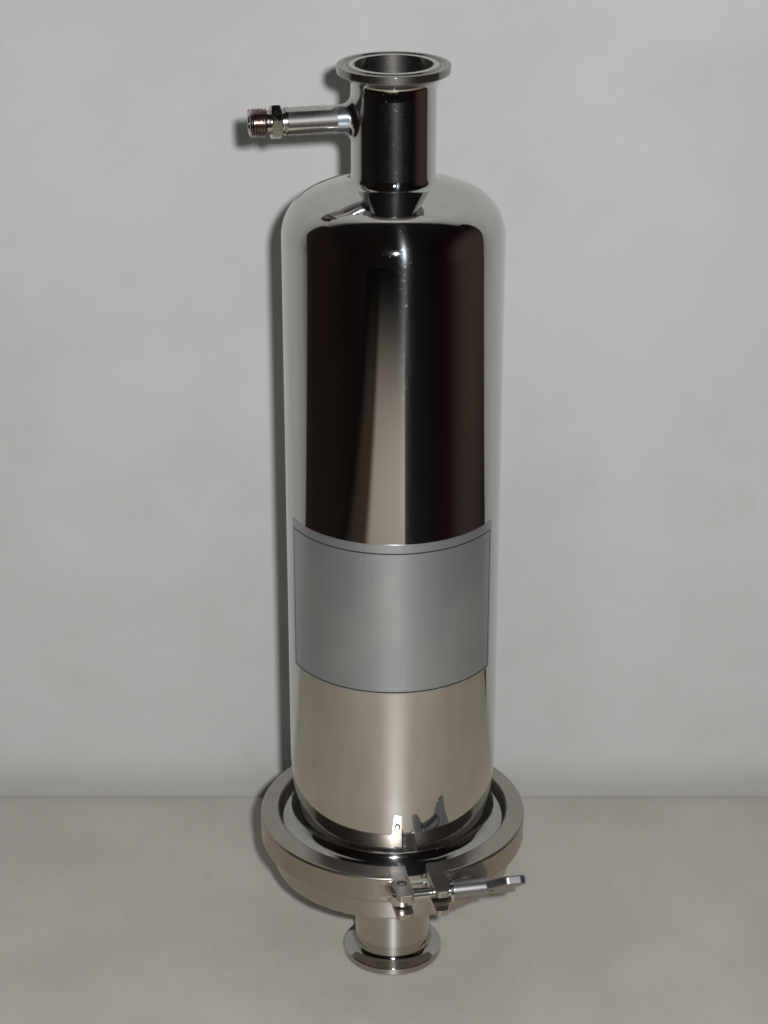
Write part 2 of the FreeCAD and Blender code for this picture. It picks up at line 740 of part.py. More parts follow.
def make_swing_bolt():
    """Eye bolt: a flat eye on its pin and a round shank."""
    half_eye = EYE_THICKNESS / 2
    shank = turned([
        (0, 0, 0),
        (BOLT_DIAMETER / 2, 0, 0),
        (BOLT_DIAMETER / 2, BOLT_LENGTH - BOLT_END_CHAMFER, 0),
        (BOLT_DIAMETER / 2 - BOLT_END_CHAMFER, BOLT_LENGTH, 0),
        (0, BOLT_LENGTH, 0),
    ])
    shank = along_x(shank, (pin_x, bolt_y), CLAMP_PLANE)
    eye = turned([
        (0, CLAMP_PLANE - half_eye, 0),
        (EYE_RADIUS, CLAMP_PLANE - half_eye, EYE_FILLET),
        (EYE_RADIUS, CLAMP_PLANE + half_eye, EYE_FILLET),
        (0, CLAMP_PLANE + half_eye, 0),
    ])
    eye.translate(Vector(pin_x, bolt_y, 0))
    hole_radius = BOLT_PIN_DIAMETER / 2 + PIN_RUNNING_GAP
    hole = Part.makeCylinder(hole_radius, CLAMP_PLANE, Vector(pin_x, bolt_y, CLAMP_PLANE / 2))
    return eye.fuse(shank).cut(hole).removeSplitter()


def make_nut_washer():
    """Plain washer between the nut and the ear."""
    bore = BOLT_DIAMETER / 2 + NUT_BORE_GAP
    return along_x(tube(WASHER_RADIUS, bore, 0, WASHER_THICKNESS), (washer_face, bolt_y), CLAMP_PLANE)


def make_wings():
    """Flat tail of the nut: two rounded wings that flare out past the hub's end."""
    end = NUT_HUB_LENGTH + WING_FLARE
    plan = outline([
        (Vector(-NUT_HUB_RADIUS, 0, NUT_HUB_LENGTH - WING_ROOT), 0),
        (Vector(NUT_HUB_RADIUS, 0, NUT_HUB_LENGTH - WING_ROOT), 0),
        (Vector(WING_REACH, 0, end - WING_TIP_LENGTH), WING_CORNER),
        (Vector(WING_REACH, 0, end), WING_CORNER),
        (Vector(0, 0, end - WING_NOTCH), WING_CORNER),
        (Vector(-WING_REACH, 0, end), WING_CORNER),
        (Vector(-WING_REACH, 0, end - WING_TIP_LENGTH), WING_CORNER),
    ])
    wings = Part.Face(plan).extrude(Vector(0, WING_THICKNESS, 0))
    wings.translate(Vector(0, -WING_THICKNESS / 2, 0))
    rims = [edge for edge in wings.Edges if edge.BoundBox.YLength < WING_EDGE_FILLET]
    return wings.makeFillet(WING_EDGE_FILLET, rims)


def make_wing_nut():
    """Wing nut with a long hub, bored a little way into its tail."""
    bore = Part.makeCylinder(BOLT_DIAMETER / 2 + NUT_BORE_GAP, NUT_HUB_LENGTH + WING_RELIEF)
    hub = turned([
        (0, 0, 0),
        (NUT_HUB_RADIUS, 0, NUT_HUB_CHAMFER),
        (NUT_HUB_RADIUS, NUT_HUB_LENGTH, NUT_HUB_CHAMFER),
        (0, NUT_HUB_LENGTH, 0),
    ])
    nut = hub.fuse(make_wings()).cut(bore).removeSplitter()
    nut.rotate(ORIGIN, AXIS, 90 - WING_TILT)
    return along_x(nut, (nut_face, bolt_y), CLAMP_PLANE)


def adapter_groove(height):
    """Room for one O-ring in the nipple, at a height of its middle."""
    half = O_RING_SECTION / 2
    deep = socket_radius - O_RING_GAP - O_RING_SECTION
    return tube(NIPPLE_RADIUS + 1, deep, height - half, height + half)


def make_cartridge_adapter():
    """Moulded nipple, flange and bayonet lugs at the cartridge's foot."""
    bore = NIPPLE_BORE / 2
    body = turned([
        (bore, cartridge_seat - NIPPLE_LENGTH, 0),
        (NIPPLE_RADIUS, cartridge_seat - NIPPLE_LENGTH, 1.0),
        (NIPPLE_RADIUS, cartridge_seat, 0),
        (cartridge_radius, cartridge_seat, 0),
        (cartridge_radius, lug_top, 0),
        (bore, lug_top, 0),
    ])
    lugs = []
    for side in (0, 180):
        start = side - LUG_ANGLE / 2
        lug = sector(bore + 2, lug_radius, lug_top - LUG_THICKNESS, lug_top, start, LUG_ANGLE)
        lugs.append(lug)
    body = body.fuse(lugs)
    for index in range(2):
        body = body.cut(adapter_groove(cartridge_seat - O_RING_FIRST - index * O_RING_SPACING))
    return body.removeSplitter()


def make_adapter_o_rings():
    """Two O-rings in the nipple's grooves."""
    half = O_RING_SECTION / 2
    middle = socket_radius - O_RING_GAP - half
    rings = []
    for index in range(2):
        height = cartridge_seat - O_RING_FIRST - index * O_RING_SPACING
        rings.append(Part.makeTorus(middle, half, Vector(0, 0, height)))
    return Part.makeCompound(rings)


def make_end_cap():
    """Moulded cup that the pack is potted into at its foot."""
    outer = cartridge_radius
    return turned([
        (NIPPLE_BORE / 2, lug_top, 0),
        (outer, lug_top, 0),
        (outer, lug_top + END_CAP_HEIGHT, 0.5),
        (outer - END_CAP_WALL, lug_top + END_CAP_HEIGHT, 0.5),
        (outer - END_CAP_WALL, pack_low, 0),
        (NIPPLE_BORE / 2, pack_low, 0),
    ])


def make_top_cap():
    """Closed moulded cup at the cartridge's head, with a crossed locating fin."""
    outer = cartridge_radius
    low = cartridge_top - TOP_CAP_HEIGHT
    cap = turned([
        (0, pack_high, 0),
        (outer - END_CAP_WALL, pack_high, 0),
        (outer - END_CAP_WALL, low, 0.5),
        (outer, low, 0.5),
        (outer, cartridge_top, 2.0),
        (0, cartridge_top, 0),
    ])
    fin_profile = outline([
        (Vector(-FIN_WIDTH / 2, 0, cartridge_top - 0.5), 0),
        (Vector(FIN_WIDTH / 2, 0, cartridge_top - 0.5), 0),
        (Vector(FIN_WIDTH / 2, 0, cartridge_top + FIN_HEIGHT * 0.7), 0),
        (Vector(FIN_WIDTH / 4, 0, cartridge_top + FIN_HEIGHT), 0),
        (Vector(-FIN_WIDTH / 4, 0, cartridge_top + FIN_HEIGHT), 0),
        (Vector(-FIN_WIDTH / 2, 0, cartridge_top + FIN_HEIGHT * 0.7), 0),
    ])
    fin = Part.Face(fin_profile).extrude(Vector(0, FIN_THICKNESS, 0))
    fin.translate(Vector(0, -FIN_THICKNESS / 2, 0))
    crossing = fin.copy()
    crossing.rotate(ORIGIN, AXIS, 90)
    return cap.fuse([fin, crossing]).removeSplitter()


def windowed_tube(outer, inner, low, high, width):
    """Tube with rows of rectangular windows between its ribs and hoops."""
    body = tube(outer, inner, low, high)
    pitch = (high - low - END_CAP_HEIGHT * 2) / WINDOW_ROWS
    cutters = []
    for row in range(WINDOW_ROWS):
        bottom = low + END_CAP_HEIGHT + row * pitch + WINDOW_RIB / 2
        for column in range(WINDOW_COLUMNS // 2):
            bar = block(
                Vector(-outer - 1, -width / 2, bottom),
                Vector(outer + 1, width / 2, bottom + pitch - WINDOW_RIB),
            )
            bar.rotate(ORIGIN, AXIS, column * FULL_TURN / WINDOW_COLUMNS)
            cutters.append(bar)
    return body.cut(cutters)


def make_cartridge_core():
    """Slotted tube that the pack is wound on."""
    outer = CORE_OD / 2
    return windowed_tube(outer, outer - CORE_WALL, pack_low, pack_high, CORE_WINDOW_WIDTH)


def make_cartridge_cage():
    """Slotted tube that guards the pack from outside."""
    outer = cartridge_radius - END_CAP_WALL
    return windowed_tube(outer, outer - CAGE_WALL, pack_low, pack_high, CAGE_WINDOW_WIDTH)


def make_pleated_pack():
    """Membrane pack folded into radial pleats round the core."""
    peak = cartridge_radius - END_CAP_WALL - CAGE_WALL - PLEAT_GAP
    points = []
    for index in range(PLEAT_COUNT * 2):
        radius = peak if index % 2 == 0 else PLEAT_INNER_RADIUS
        angle = index * math.pi / PLEAT_COUNT
        points.append((Vector(radius * math.cos(angle), radius * math.sin(angle), pack_low), 0))
    pack = Part.Face(outline(points)).extrude(AXIS * (pack_high - pack_low))
    return pack.cut(Part.makeCylinder(CORE_OD / 2, pack_high - pack_low, Vector(0, 0, pack_low)))


def make_all():
    """Every node of the part with its solid or solids."""
    return {
        "outlet_ferrule": port_ferrule(0, 1),
        "outlet_tube": tube(port_radius, port_bore, PORT_FERRULE_LENGTH, cup_bottom),
        "socket_cup": make_socket_cup(),
        "base_flange": make_base_flange(),
        "bayonet_ring": make_bayonet_ring(),
        "body_gasket": make_body_gasket(),
        "bowl_flange": make_bowl_flange(),
        "bowl_tube": make_bowl_tube(),
        "dome_head": make_dome_head(),
        "inlet_tube": make_inlet_tube(),
        "inlet_ferrule": port_ferrule(inlet_face, -1),
        "vent_tube": make_vent_tube(),
        "vent_connector": make_vent_connector(),
        "clamp_half_left": make_clamp_half(-1),
        "clamp_half_right": make_clamp_half(1),
        "hinge_pin": make_hinge_pin(),
        "bolt_pin": make_bolt_pin(),
        "swing_bolt": make_swing_bolt(),
        "nut_washer": make_nut_washer(),
        "wing_nut": make_wing_nut(),
        "cartridge_adapter": make_cartridge_adapter(),
        "adapter_o_rings": make_adapter_o_rings(),
        "cartridge_end_cap": make_end_cap(),
        "cartridge_core": make_cartridge_core(),
        "pleated_pack": make_pleated_pack(),
        "cartridge_cage": make_cartridge_cage(),
        "cartridge_top_cap": make_top_cap(),
    }


os.makedirs("parts", exist_ok=True)
for name, shape in make_all().items():
    print(name, "solids", len(shape.Solids), "valid", shape.isValid(), "volume", round(shape.Volume, 1))
    shape.exportStep(os.path.join("parts", name + ".step"))
print("overall height", round(inlet_face, 2), "neck starts at", round(neck_start, 2))
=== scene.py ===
"""Looks of the tank vent filter housing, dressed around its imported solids."""

import logging
import math
from dataclasses import dataclass, field
from enum import Enum
from typing import Any, Callable, Iterable, Sequence

import bmesh
import bpy
from mathutils import Euler, Matrix, Vector


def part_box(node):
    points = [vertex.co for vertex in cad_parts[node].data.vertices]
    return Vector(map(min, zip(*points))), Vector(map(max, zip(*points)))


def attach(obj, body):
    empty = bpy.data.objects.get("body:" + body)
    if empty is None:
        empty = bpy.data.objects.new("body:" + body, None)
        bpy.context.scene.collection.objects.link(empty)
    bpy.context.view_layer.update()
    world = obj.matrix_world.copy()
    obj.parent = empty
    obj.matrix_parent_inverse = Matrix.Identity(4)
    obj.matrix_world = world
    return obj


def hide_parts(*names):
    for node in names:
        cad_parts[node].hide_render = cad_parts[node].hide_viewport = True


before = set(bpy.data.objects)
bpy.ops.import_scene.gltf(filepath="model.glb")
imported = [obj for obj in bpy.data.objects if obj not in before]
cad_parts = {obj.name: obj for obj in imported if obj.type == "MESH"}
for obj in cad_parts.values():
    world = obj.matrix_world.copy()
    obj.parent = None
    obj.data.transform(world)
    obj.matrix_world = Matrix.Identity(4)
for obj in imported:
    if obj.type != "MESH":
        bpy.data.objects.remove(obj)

log = logging.getLogger("vent_filter_housing")

MM = 0.001
VIEW_AZIMUTH = -11.0

# Outputs of nodes, by their index
OBJECT_PLACE = 3
TRUE_NORMAL = 1
BACKFACING = 6

Colour = tuple[float, float, float]
Point2 = tuple[float, float]
Point3 = tuple[float, float, float]
Corner = tuple[float, float, float]


# Shader maths


class Socket:
    """A node's output, or a plain number, that Python's operators work on."""

    def __init__(self, shader: "Shader", value: Any) -> None:
        """Keeps the shader that new nodes go into.

        Args:
            shader: builder of the material's nodes.
            value: output socket or number.
        """
        self.shader = shader
        self.value = value

    def _maths(self, operation: str, *values: Any) -> "Socket":
        """Adds one Math node over this value and others."""
        return self.shader.node("ShaderNodeMath", {"operation": operation}, *values)

    def __add__(self, other: Any) -> "Socket":
        """Sum."""
        return self._maths("ADD", self, other)

    def __sub__(self, other: Any) -> "Socket":
        """Difference."""
        return self._maths("SUBTRACT", self, other)

    def __mul__(self, other: Any) -> "Socket":
        """Product."""
        return self._maths("MULTIPLY", self, other)

    def __truediv__(self, other: Any) -> "Socket":
        """Quotient."""
        return self._maths("DIVIDE", self, other)

    def __radd__(self, other: Any) -> "Socket":
        """Sum with a number on the left."""
        return self._maths("ADD", other, self)

    def __rsub__(self, other: Any) -> "Socket":
        """Difference from a number on the left."""
        return self._maths("SUBTRACT", other, self)

    def __rmul__(self, other: Any) -> "Socket":
        """Product with a number on the left."""
        return self._maths("MULTIPLY", other, self)

    def __pow__(self, other: Any) -> "Socket":
        """Power."""
        return self._maths("POWER", self, other)

    def __abs__(self) -> "Socket":
        """Size without its sign."""
        return self._maths("ABSOLUTE", self)

    def __lt__(self, other: Any) -> "Socket":
        """1 where this is less than the other."""
        return self._maths("LESS_THAN", self, other)

    def __gt__(self, other: Any) -> "Socket":
        """1 where this is greater than the other."""
        return self._maths("GREATER_THAN", self, other)

    def most(self, other: Any) -> "Socket":
        """Larger of the two."""
        return self._maths("MAXIMUM", self, other)

    def between(self, low: float, high: float, to_low: float = 0.0, to_high: float = 1.0) -> "Socket":
        """Maps low..high smoothly to to_low..to_high and holds the ends."""
        settings = {"interpolation_type": "SMOOTHSTEP", "clamp": True}
        return self.shader.node("ShaderNodeMapRange", settings, self, low, high, to_low, to_high)


class Shader:
    """Builds one material's nodes."""

    def __init__(self, name: str) -> None:
        """Starts an empty material.

        Args:
            name: the material's name.
        """
        self.material = bpy.data.materials.new(name)
        self.material.use_nodes = True
        self.tree = self.material.node_tree
        self.tree.nodes.clear()

    def node(
        self, kind: str, settings: dict[str, Any] | None = None, *inputs: Any, output: int = 0, **named: Any
    ) -> Socket:
        """Adds one node.

        Args:
            kind: the node's type.
            settings: properties that are set before its sockets.
            inputs: values or links of its first sockets, None to leave one.
            output: index of the output that is returned.
            named: values or links by socket name, with _ for a space.

        Returns:
            The chosen output.
        """
        made = self.tree.nodes.new(kind)
        for key, value in (settings or {}).items():
            if key == "stops":
                self._set_stops(made, value)
            else:
                setattr(made, key, value)
        for socket, value in zip([s for s in made.inputs if s.enabled], inputs):
            self._feed(socket, value)
        for key, value in named.items():
            self._feed(made.inputs[key.replace("_", " ")], value)
        outputs = [s for s in made.outputs if s.enabled]
        return Socket(self, outputs[output] if outputs else None)

    def _feed(self, socket: bpy.types.NodeSocket, value: Any) -> None:
        """Links a socket, or sets its value."""
        if isinstance(value, Socket):
            value = value.value
        if value is None:
            return
        if isinstance(value, bpy.types.NodeSocket):
            self.tree.links.new(value, socket)
        elif isinstance(value, (tuple, list)) and socket.type == "RGBA" and len(value) == 3:
            socket.default_value = (*value, 1.0)
        else:
            socket.default_value = value

    @staticmethod
    def _set_stops(ramp: bpy.types.Node, stops: Sequence[tuple[float, Colour]]) -> None:
        """Gives a colour ramp its stops."""
        elements = ramp.color_ramp.elements
        while len(elements) < len(stops):
            elements.new(0.5)
        for element, (place, colour) in zip(elements, stops):
            element.position = place
            element.color = (*colour, 1.0)

    def place(self) -> Socket:
        """The piece's own coordinates, in metres."""
        return self.node("ShaderNodeTexCoord", None, output=OBJECT_PLACE)

    def stretched(self, scale: Point3) -> Socket:
        """The piece's coordinates, stretched along each axis."""
        return self.node("ShaderNodeMapping", None, self.place(), Scale=scale)

    def split(self, place: Socket) -> tuple[Socket, Socket, Socket]:
        """The x, y and z of some coordinates."""
        parts = self.node("ShaderNodeSeparateXYZ", None, place)
        return tuple(Socket(self, socket) for socket in parts.value.node.outputs)

    def axes(self) -> tuple[Socket, Socket, Socket]:
        """The piece's own x, y and z, in metres."""
        return self.split(self.place())

    def radius(self) -> Socket:
        """Distance from the vessel's axis, in metres."""
        x, y, _ = self.axes()
        return (x * x + y * y) ** 0.5

    def lines(self, grain: "Grain", detail: float = 2.0, roughness: float = 0.5) -> Socket:
        """Fine polishing lines from 0 to 1.

        Args:
            grain: the way they run.
            detail: octaves of the noise.
            roughness: weight of the finer octaves.

        Returns:
            Their height.
        """
        if grain is Grain.TURNED:
            x, _, z = self.axes()
            out, around, up = grain.value
            place = self.node("ShaderNodeCombineXYZ", None, self.radius() * out, z * up, x * around)
        else:
            place = self.stretched(grain.value)
        return self.noise(place, 1.0, detail, roughness)

    def noise(self, vector: Socket, scale: float, detail: float = 2.0, roughness: float = 0.5) -> Socket:
        """Smooth noise from 0 to 1 over some coordinates."""
        return self.node("ShaderNodeTexNoise", None, vector, Scale=scale, Detail=detail, Roughness=roughness)

    def mix(self, factor: Any, first: Any, second: Any) -> Socket:
        """Mixes two colours."""
        return self.node("ShaderNodeMix", {"data_type": "RGBA"}, factor, first, second)

    def bump(self, height: Socket, distance: float, normal: Socket | None = None) -> Socket:
        """Normal from a height."""
        return self.node(
            "ShaderNodeBump", None, Strength=1.0, Distance=distance, Height=height, Normal=normal
        )

    def surface(self, **sockets: Any) -> Socket:
        """A Principled surface with some of its sockets set."""
        return self.node("ShaderNodeBsdfPrincipled", None, **sockets)

    def steel(self, colour: Any, roughness: Any, **sockets: Any) -> Socket:
        """A Principled surface of bare metal."""
        return self.surface(Base_Color=colour, Metallic=1.0, Roughness=roughness, **sockets)

    def blend(self, share: Any, first: Socket, second: Socket) -> Socket:
        """Two surfaces, with the second's share."""
        return self.node("ShaderNodeMixShader", None, share, first, second)

    def finish(self, surface: Socket) -> bpy.types.Material:
        """Joins the surface to the output.

        Args:
            surface: the finished shader.

        Returns:
            The material.
        """
        self.node("ShaderNodeOutputMaterial", None, surface)
        return self.material


class RoomShader(Shader):
    """Builds the nodes of a world."""

    def __init__(self, world: bpy.types.World) -> None:
        """Empties the world's nodes.

        Args:
            world: the scene's world.
        """
        world.use_nodes = True
        self.tree = world.node_tree
        self.tree.nodes.clear()


# Finishes


def toned(colour: Colour, tone: Colour) -> Colour:
    """A colour times another, channel by channel."""
    return tuple(c * t for c, t in zip(colour, tone))


class Grain(Enum):
    """Way that fine lines run: their noise's stretch along x, y and z, or out, around and up if turned."""

    TURNED = (2600.0, 30.0, 2600.0)
    ROUND_BRANCH = (2600.0, 30.0, 30.0)
    UPRIGHT = (900.0, 900.0, 14.0)
    BOARD = (160.0, 30.0, 30.0)


@dataclass(frozen=True)
class PolishedSteel:
    """Mirror-polished stainless steel whose fine turned lines draw a lamp out into a streak.

    The wall of a neck, between two radii in metres, can keep a colour of its own and no haze. A neck's
    pulled collar can be hazy from its start outwards.
    """

    name: str
    colour: Colour
    roughness: float = 0.035
    streak: float = 0.028
    streak_roughness: float = 0.28
    streak_turn: float = 0.0
    streak_draw: float = 1.0
    streak_colour: Colour = (0.50, 0.56, 0.62)
    collar_haze: float = 0.0
    collar_start: Point2 = (0.0195, 0.0225)
    neck_colour: Colour | None = None
    neck_inside: Point2 = (0.0178, 0.0184)
    neck_outside: Point2 = (0.0193, 0.0200)
    spots: float = 0.13
    line_depth: float = 0.0000003
    wave_size: float = 0.03
    wave_depth: float = 0.0000006

    def build(self) -> bpy.types.Material:
        """Makes the material."""
        shader = Shader(self.name)
        place = shader.place()
        clouds = shader.noise(place, 22.0, 3.0)
        smears = shader.noise(shader.stretched((1.0, 1.0, 0.25)), 70.0, 4.0, 0.6)
        lines = shader.lines(Grain.TURNED)
        specks = shader.noise(place, 1100.0, 1.0).between(0.66, 0.74)
        waves = shader.noise(place, 1.0 / self.wave_size, 2.0)
        rough = self.roughness + 0.02 * clouds.between(0.45, 0.75) + 0.03 * smears.between(0.6, 0.8)
        rough = rough + 0.05 * specks
        warm = toned(self.colour, (0.985, 0.955, 0.92))
        colour = shader.mix(clouds.between(0.35, 0.8) * 0.6, self.colour, warm)
        share = self.streak * (0.7 + 0.6 * lines)
        if self.neck_colour:
            radius = shader.radius()
            off_neck = 1 - radius.between(*self.neck_inside) * (1 - radius.between(*self.neck_outside))
            colour = shader.mix(off_neck, self.neck_colour, colour)
            share = share * off_neck
        share = share + self.spots * specks + 0.02 * smears.between(0.6, 0.85)
        if self.collar_haze:
            x, _, _ = shader.axes()
            share = share.most(self.collar_haze * (0 - x).between(*self.collar_start))
        relief = shader.bump(waves, self.wave_depth, shader.bump(lines, self.line_depth))
        facing = shader.node("ShaderNodeNewGeometry", None, output=TRUE_NORMAL)
        angle = -math.radians(self.streak_turn)
        turned = shader.node("ShaderNodeVectorRotate", {"rotation_type": "Z_AXIS"}, facing, Angle=angle)
        drawn = shader.steel(
            self.streak_colour, self.streak_roughness, Normal=turned, Anisotropic=self.streak_draw,
            Anisotropic_Rotation=0.25
        )
        return shader.finish(shader.blend(share, shader.steel(colour, rough, Normal=relief), drawn))


@dataclass(frozen=True)
class WavySteel:
    """Drawn tube polished by hand, with slight waves along it and a soft haze."""

    name: str
    colour: Colour
    wave_size: float
    wave_depth: float
    roughness: float = 0.06
    haze: float = 0.1
    haze_roughness: float = 0.3
    haze_draw: float = 0.0
    ripple: Point3 = (1.0, 1.0, 1.0)

    def build(self) -> bpy.types.Material:
        """Makes the material."""
        shader = Shader(self.name)
        waves = shader.noise(shader.stretched(self.ripple), 1.0 / self.wave_size, 2.0)
        lines = shader.lines(Grain.ROUND_BRANCH)
        smears = shader.noise(shader.place(), 160.0, 4.0, 0.6)
        rough = self.roughness + 0.05 * smears.between(0.45, 0.75)
        warm = toned(self.colour, (0.97, 0.93, 0.88))
        colour = shader.mix(smears.between(0.4, 0.8) * 0.5, self.colour, warm)
        relief = shader.bump(waves, self.wave_depth, shader.bump(lines, self.wave_depth * 0.01))
        mirror = shader.steel(colour, rough, Normal=relief)
        cloudy = shader.steel(colour, self.haze_roughness, Normal=relief, Anisotropic=self.haze_draw)
        return shader.finish(shader.blend(self.haze * (0.8 + 0.4 * lines), mirror, cloudy))


@dataclass(frozen=True)
class CastSteel:
    """Cast stainless steel, ground and buffed to a satin mirror with slight waves."""

    name: str
    colour: Colour
    roughness: float
    grain_size: float
    grain_depth: float
    wave_depth: float
    haze: float
    haze_roughness: float = 0.38

    def build(self) -> bpy.types.Material:
        """Makes the material."""
        shader = Shader(self.name)
        place = shader.place()
        skin = shader.noise(place, 1.0 / self.grain_size, 4.0, 0.62)
        waves = shader.noise(place, 60.0, 1.0)
        dust = shader.noise(place, 2600.0, 2.0)
        smears = shader.noise(place, 130.0, 4.0, 0.6)
        dull = toned(self.colour, (0.86, 0.82, 0.77))
        colour = shader.mix(smears.between(0.45, 0.75) * 0.6, self.colour, dull)
        rough = self.roughness + 0.06 * smears.between(0.4, 0.7) + 0.04 * dust
        relief = shader.bump(skin * self.grain_depth + waves * self.wave_depth, 1.0)
        buffed = shader.steel(colour, rough, Normal=relief)
        satin = shader.steel(colour, self.haze_roughness, Normal=relief)
        return shader.finish(shader.blend(self.haze * (0.6 + 0.8 * skin), buffed, satin))


@dataclass(frozen=True)
class StainedSteel:
    """Machined steel with a brown stain in blotches."""

    name: str
    colour: Colour
    stain: Colour
    amount: float
    roughness: float
    relief_depth: float = 0.0000004

    def build(self) -> bpy.types.Material:
        """Makes the material."""
        shader = Shader(self.name)
        blotches = shader.noise(shader.place(), 420.0, 4.0, 0.6)
        lines = shader.lines(Grain.ROUND_BRANCH)
        stained = blotches.between(0.62 - self.amount * 0.4, 0.75)
        colour = shader.mix(stained * self.amount, self.colour, self.stain)
        rough = self.roughness + 0.25 * stained + 0.06 * lines
        relief = shader.bump(lines * 0.3 + blotches, self.relief_depth)
        return shader.finish(shader.steel(colour, rough, Normal=relief))


@dataclass(frozen=True)
class LabelFoil:
    """Satin silver foil with a thin dark border, its sizes in millimetres and its middle in degrees."""

    name: str
    radius: float
    middle: float
    half_width: float
    low: float
    high: float
    side_inset: float = 1.7
    top_inset: float = 4.6
    foot_inset: float = 0.8
    line: float = 0.7
    metal: float = 0.82
    ink: Colour = (0.02, 0.02, 0.022)
    sheen: float = 0.14
    sheen_colour: Colour = (0.60, 0.59, 0.56)

    def build(self) -> bpy.types.Material:
        """Makes the material."""
        shader = Shader(self.name)
        x, y, z = shader.axes()
        turn = shader.node("ShaderNodeMath", {"operation": "ARCTAN2"}, x, 0 - y)
        across = (turn - math.radians(self.middle)) * self.radius
        up = z / MM
        low = self.low + self.foot_inset
        high = self.high - self.top_inset
        side = self.half_width - self.side_inset
        half = self.line / 2
        inside = (abs(across) < side + half) * (up > low - half) * (up < high + half)
        core = (abs(across) < side - half) * (up > low + half) * (up < high - half)
        border = inside * (1 - core)
        brushed = shader.lines(Grain.UPRIGHT, 3.0, 0.6)
        broad = shader.noise(shader.place(), 26.0, 2.0)
        silver = shader.mix(broad.between(0.3, 0.75), (0.36, 0.40, 0.43), (0.43, 0.455, 0.47))
        silver = shader.mix(brushed.between(0.35, 0.75) * 0.4, silver, (0.32, 0.345, 0.36))
        colour = shader.mix(border, silver, self.ink)
        bare = 1 - border
        rough = 0.34 + 0.08 * brushed + 0.1 * border
        relief = shader.bump(brushed, 0.000006)
        satin = shader.surface(Base_Color=colour, Metallic=self.metal * bare, Roughness=rough, Normal=relief)
        drawn = shader.steel(self.sheen_colour, 0.46, Anisotropic=0.6, Anisotropic_Rotation=0.25)
        return shader.finish(shader.blend(self.sheen * bare, satin, drawn))


@dataclass(frozen=True)
class Moulded:
    """Plastic or rubber with a fine moulded skin."""

    name: str
    colour: Colour
    roughness: float
    grain_size: float = 0.0006
    grain_depth: float = 0.00001
    glow: float = 0.0
    glow_depth: float = 0.002

    def build(self) -> bpy.types.Material:
        """Makes the material."""
        shader = Shader(self.name)
        place = shader.place()
        skin = shader.noise(place, 1.0 / self.grain_size, 3.0)
        broad = shader.noise(place, 45.0, 2.0)
        shade = toned(self.colour, (0.86, 0.86, 0.86))
        colour = shader.mix(broad.between(0.35, 0.75), self.colour, shade)
        rough = self.roughness + 0.1 * skin
        relief = shader.bump(skin, self.grain_depth)
        return shader.finish(shader.surface(
            Base_Color=colour, Roughness=rough, Normal=relief, Subsurface_Weight=self.glow,
            Subsurface_Scale=self.glow_depth
        ))


@dataclass(frozen=True)
class Wardrobe:
    """Every finish of the vessel, built once."""

    shell: bpy.types.Material
    turned: bpy.types.Material
    head: bpy.types.Material
    drawn: bpy.types.Material
    branch: bpy.types.Material
    clamp: bpy.types.Material
    nut: bpy.types.Material
    pin: bpy.types.Material
    bolt: bpy.types.Material
    connector: bpy.types.Material
    thread: bpy.types.Material
    foil: bpy.types.Material
    silicone: bpy.types.Material
    plastic: bpy.types.Material
    rubber: bpy.types.Material
    membrane: bpy.types.Material


# Mesh tools


def rounded(corners: Sequence[Corner], steps: int = 6) -> list[Point2]:
    """Rounds the corners of a closed outline.

    Args:
        corners: x, y and rounding radius of each corner.
        steps: divisions of each rounded corner.

    Returns:
        The outline's points.
    """
    points: list[Point2] = []
    for index, (x, y, radius) in enumerate(corners):
        here = Vector((x, y))
        if radius <= 0:
            points.append((x, y))
            continue
        back = (Vector(corners[index - 1][:2]) - here).normalized()
        ahead = (Vector(corners[(index + 1) % len(corners)][:2]) - here).normalized()
        half = math.acos(max(-1.0, min(1.0, back.dot(ahead)))) / 2
        middle = here + (back + ahead).normalized() * (radius / math.sin(half))
        start = here + back * (radius / math.tan(half)) - middle
        end = here + ahead * (radius / math.tan(half)) - middle
        sweep = start.angle_signed(end)
        for step in range(steps + 1):
            turned = start.copy()
            turned.rotate(Matrix.Rotation(-sweep * step / steps, 2))
            points.append(tuple(middle + turned))
    return points


def make_piece(name: str, mesh: bpy.types.Mesh, sharp: float = 32.0) -> bpy.types.Object:
    """Puts a mesh in the scene, merged, turned outwards and smooth up to an angle.

    Args:
        name: the piece's name.
        mesh: its mesh, in metres in the row's frame.
        sharp: angle in degrees from which an edge stays sharp.

    Returns:
        The piece.
    """
    work = bmesh.new()
    work.from_mesh(mesh)
    bmesh.ops.remove_doubles(work, verts=work.verts, dist=1e-7)
    bmesh.ops.recalc_face_normals(work, faces=work.faces)
    work.to_mesh(mesh)
    work.free()
    mesh.shade_smooth()
    mesh.set_sharp_from_angle(angle=math.radians(sharp))
    piece = bpy.data.objects.new(name, mesh)
    bpy.context.scene.collection.objects.link(piece)
    return piece


def lathe_mesh(
    name: str,
    outline: Sequence[Point2],
    segments: int = 192,
    reach: Callable[[float, float, float], float] | None = None,
) -> bpy.types.Mesh:
    """Turns a closed outline about Z.

    Args:
        name: the mesh's name.
        outline: radius and height of each point, in millimetres.
        segments: divisions of the full turn.
        reach: radius from the outline's radius, height and angle, for what isn't round.

    Returns:
        The mesh, in metres.
    """
    verts = []
    for radius, height in outline:
        for index in range(segments):
            angle = 2 * math.pi * index / segments
            out = radius if reach is None else reach(radius, height, angle)
            verts.append((out * math.cos(angle) * MM, out * math.sin(angle) * MM, height * MM))
    faces = []
    count = len(outline)
    for ring in range(count):
        near = ring * segments
        far = (ring + 1) % count * segments
        for index in range(segments):
            beside = (index + 1) % segments
            faces.append((near + index, near + beside, far + beside, far + index))
    mesh = bpy.data.meshes.new(name)
    mesh.from_pydata(verts, [], faces)
    return mesh


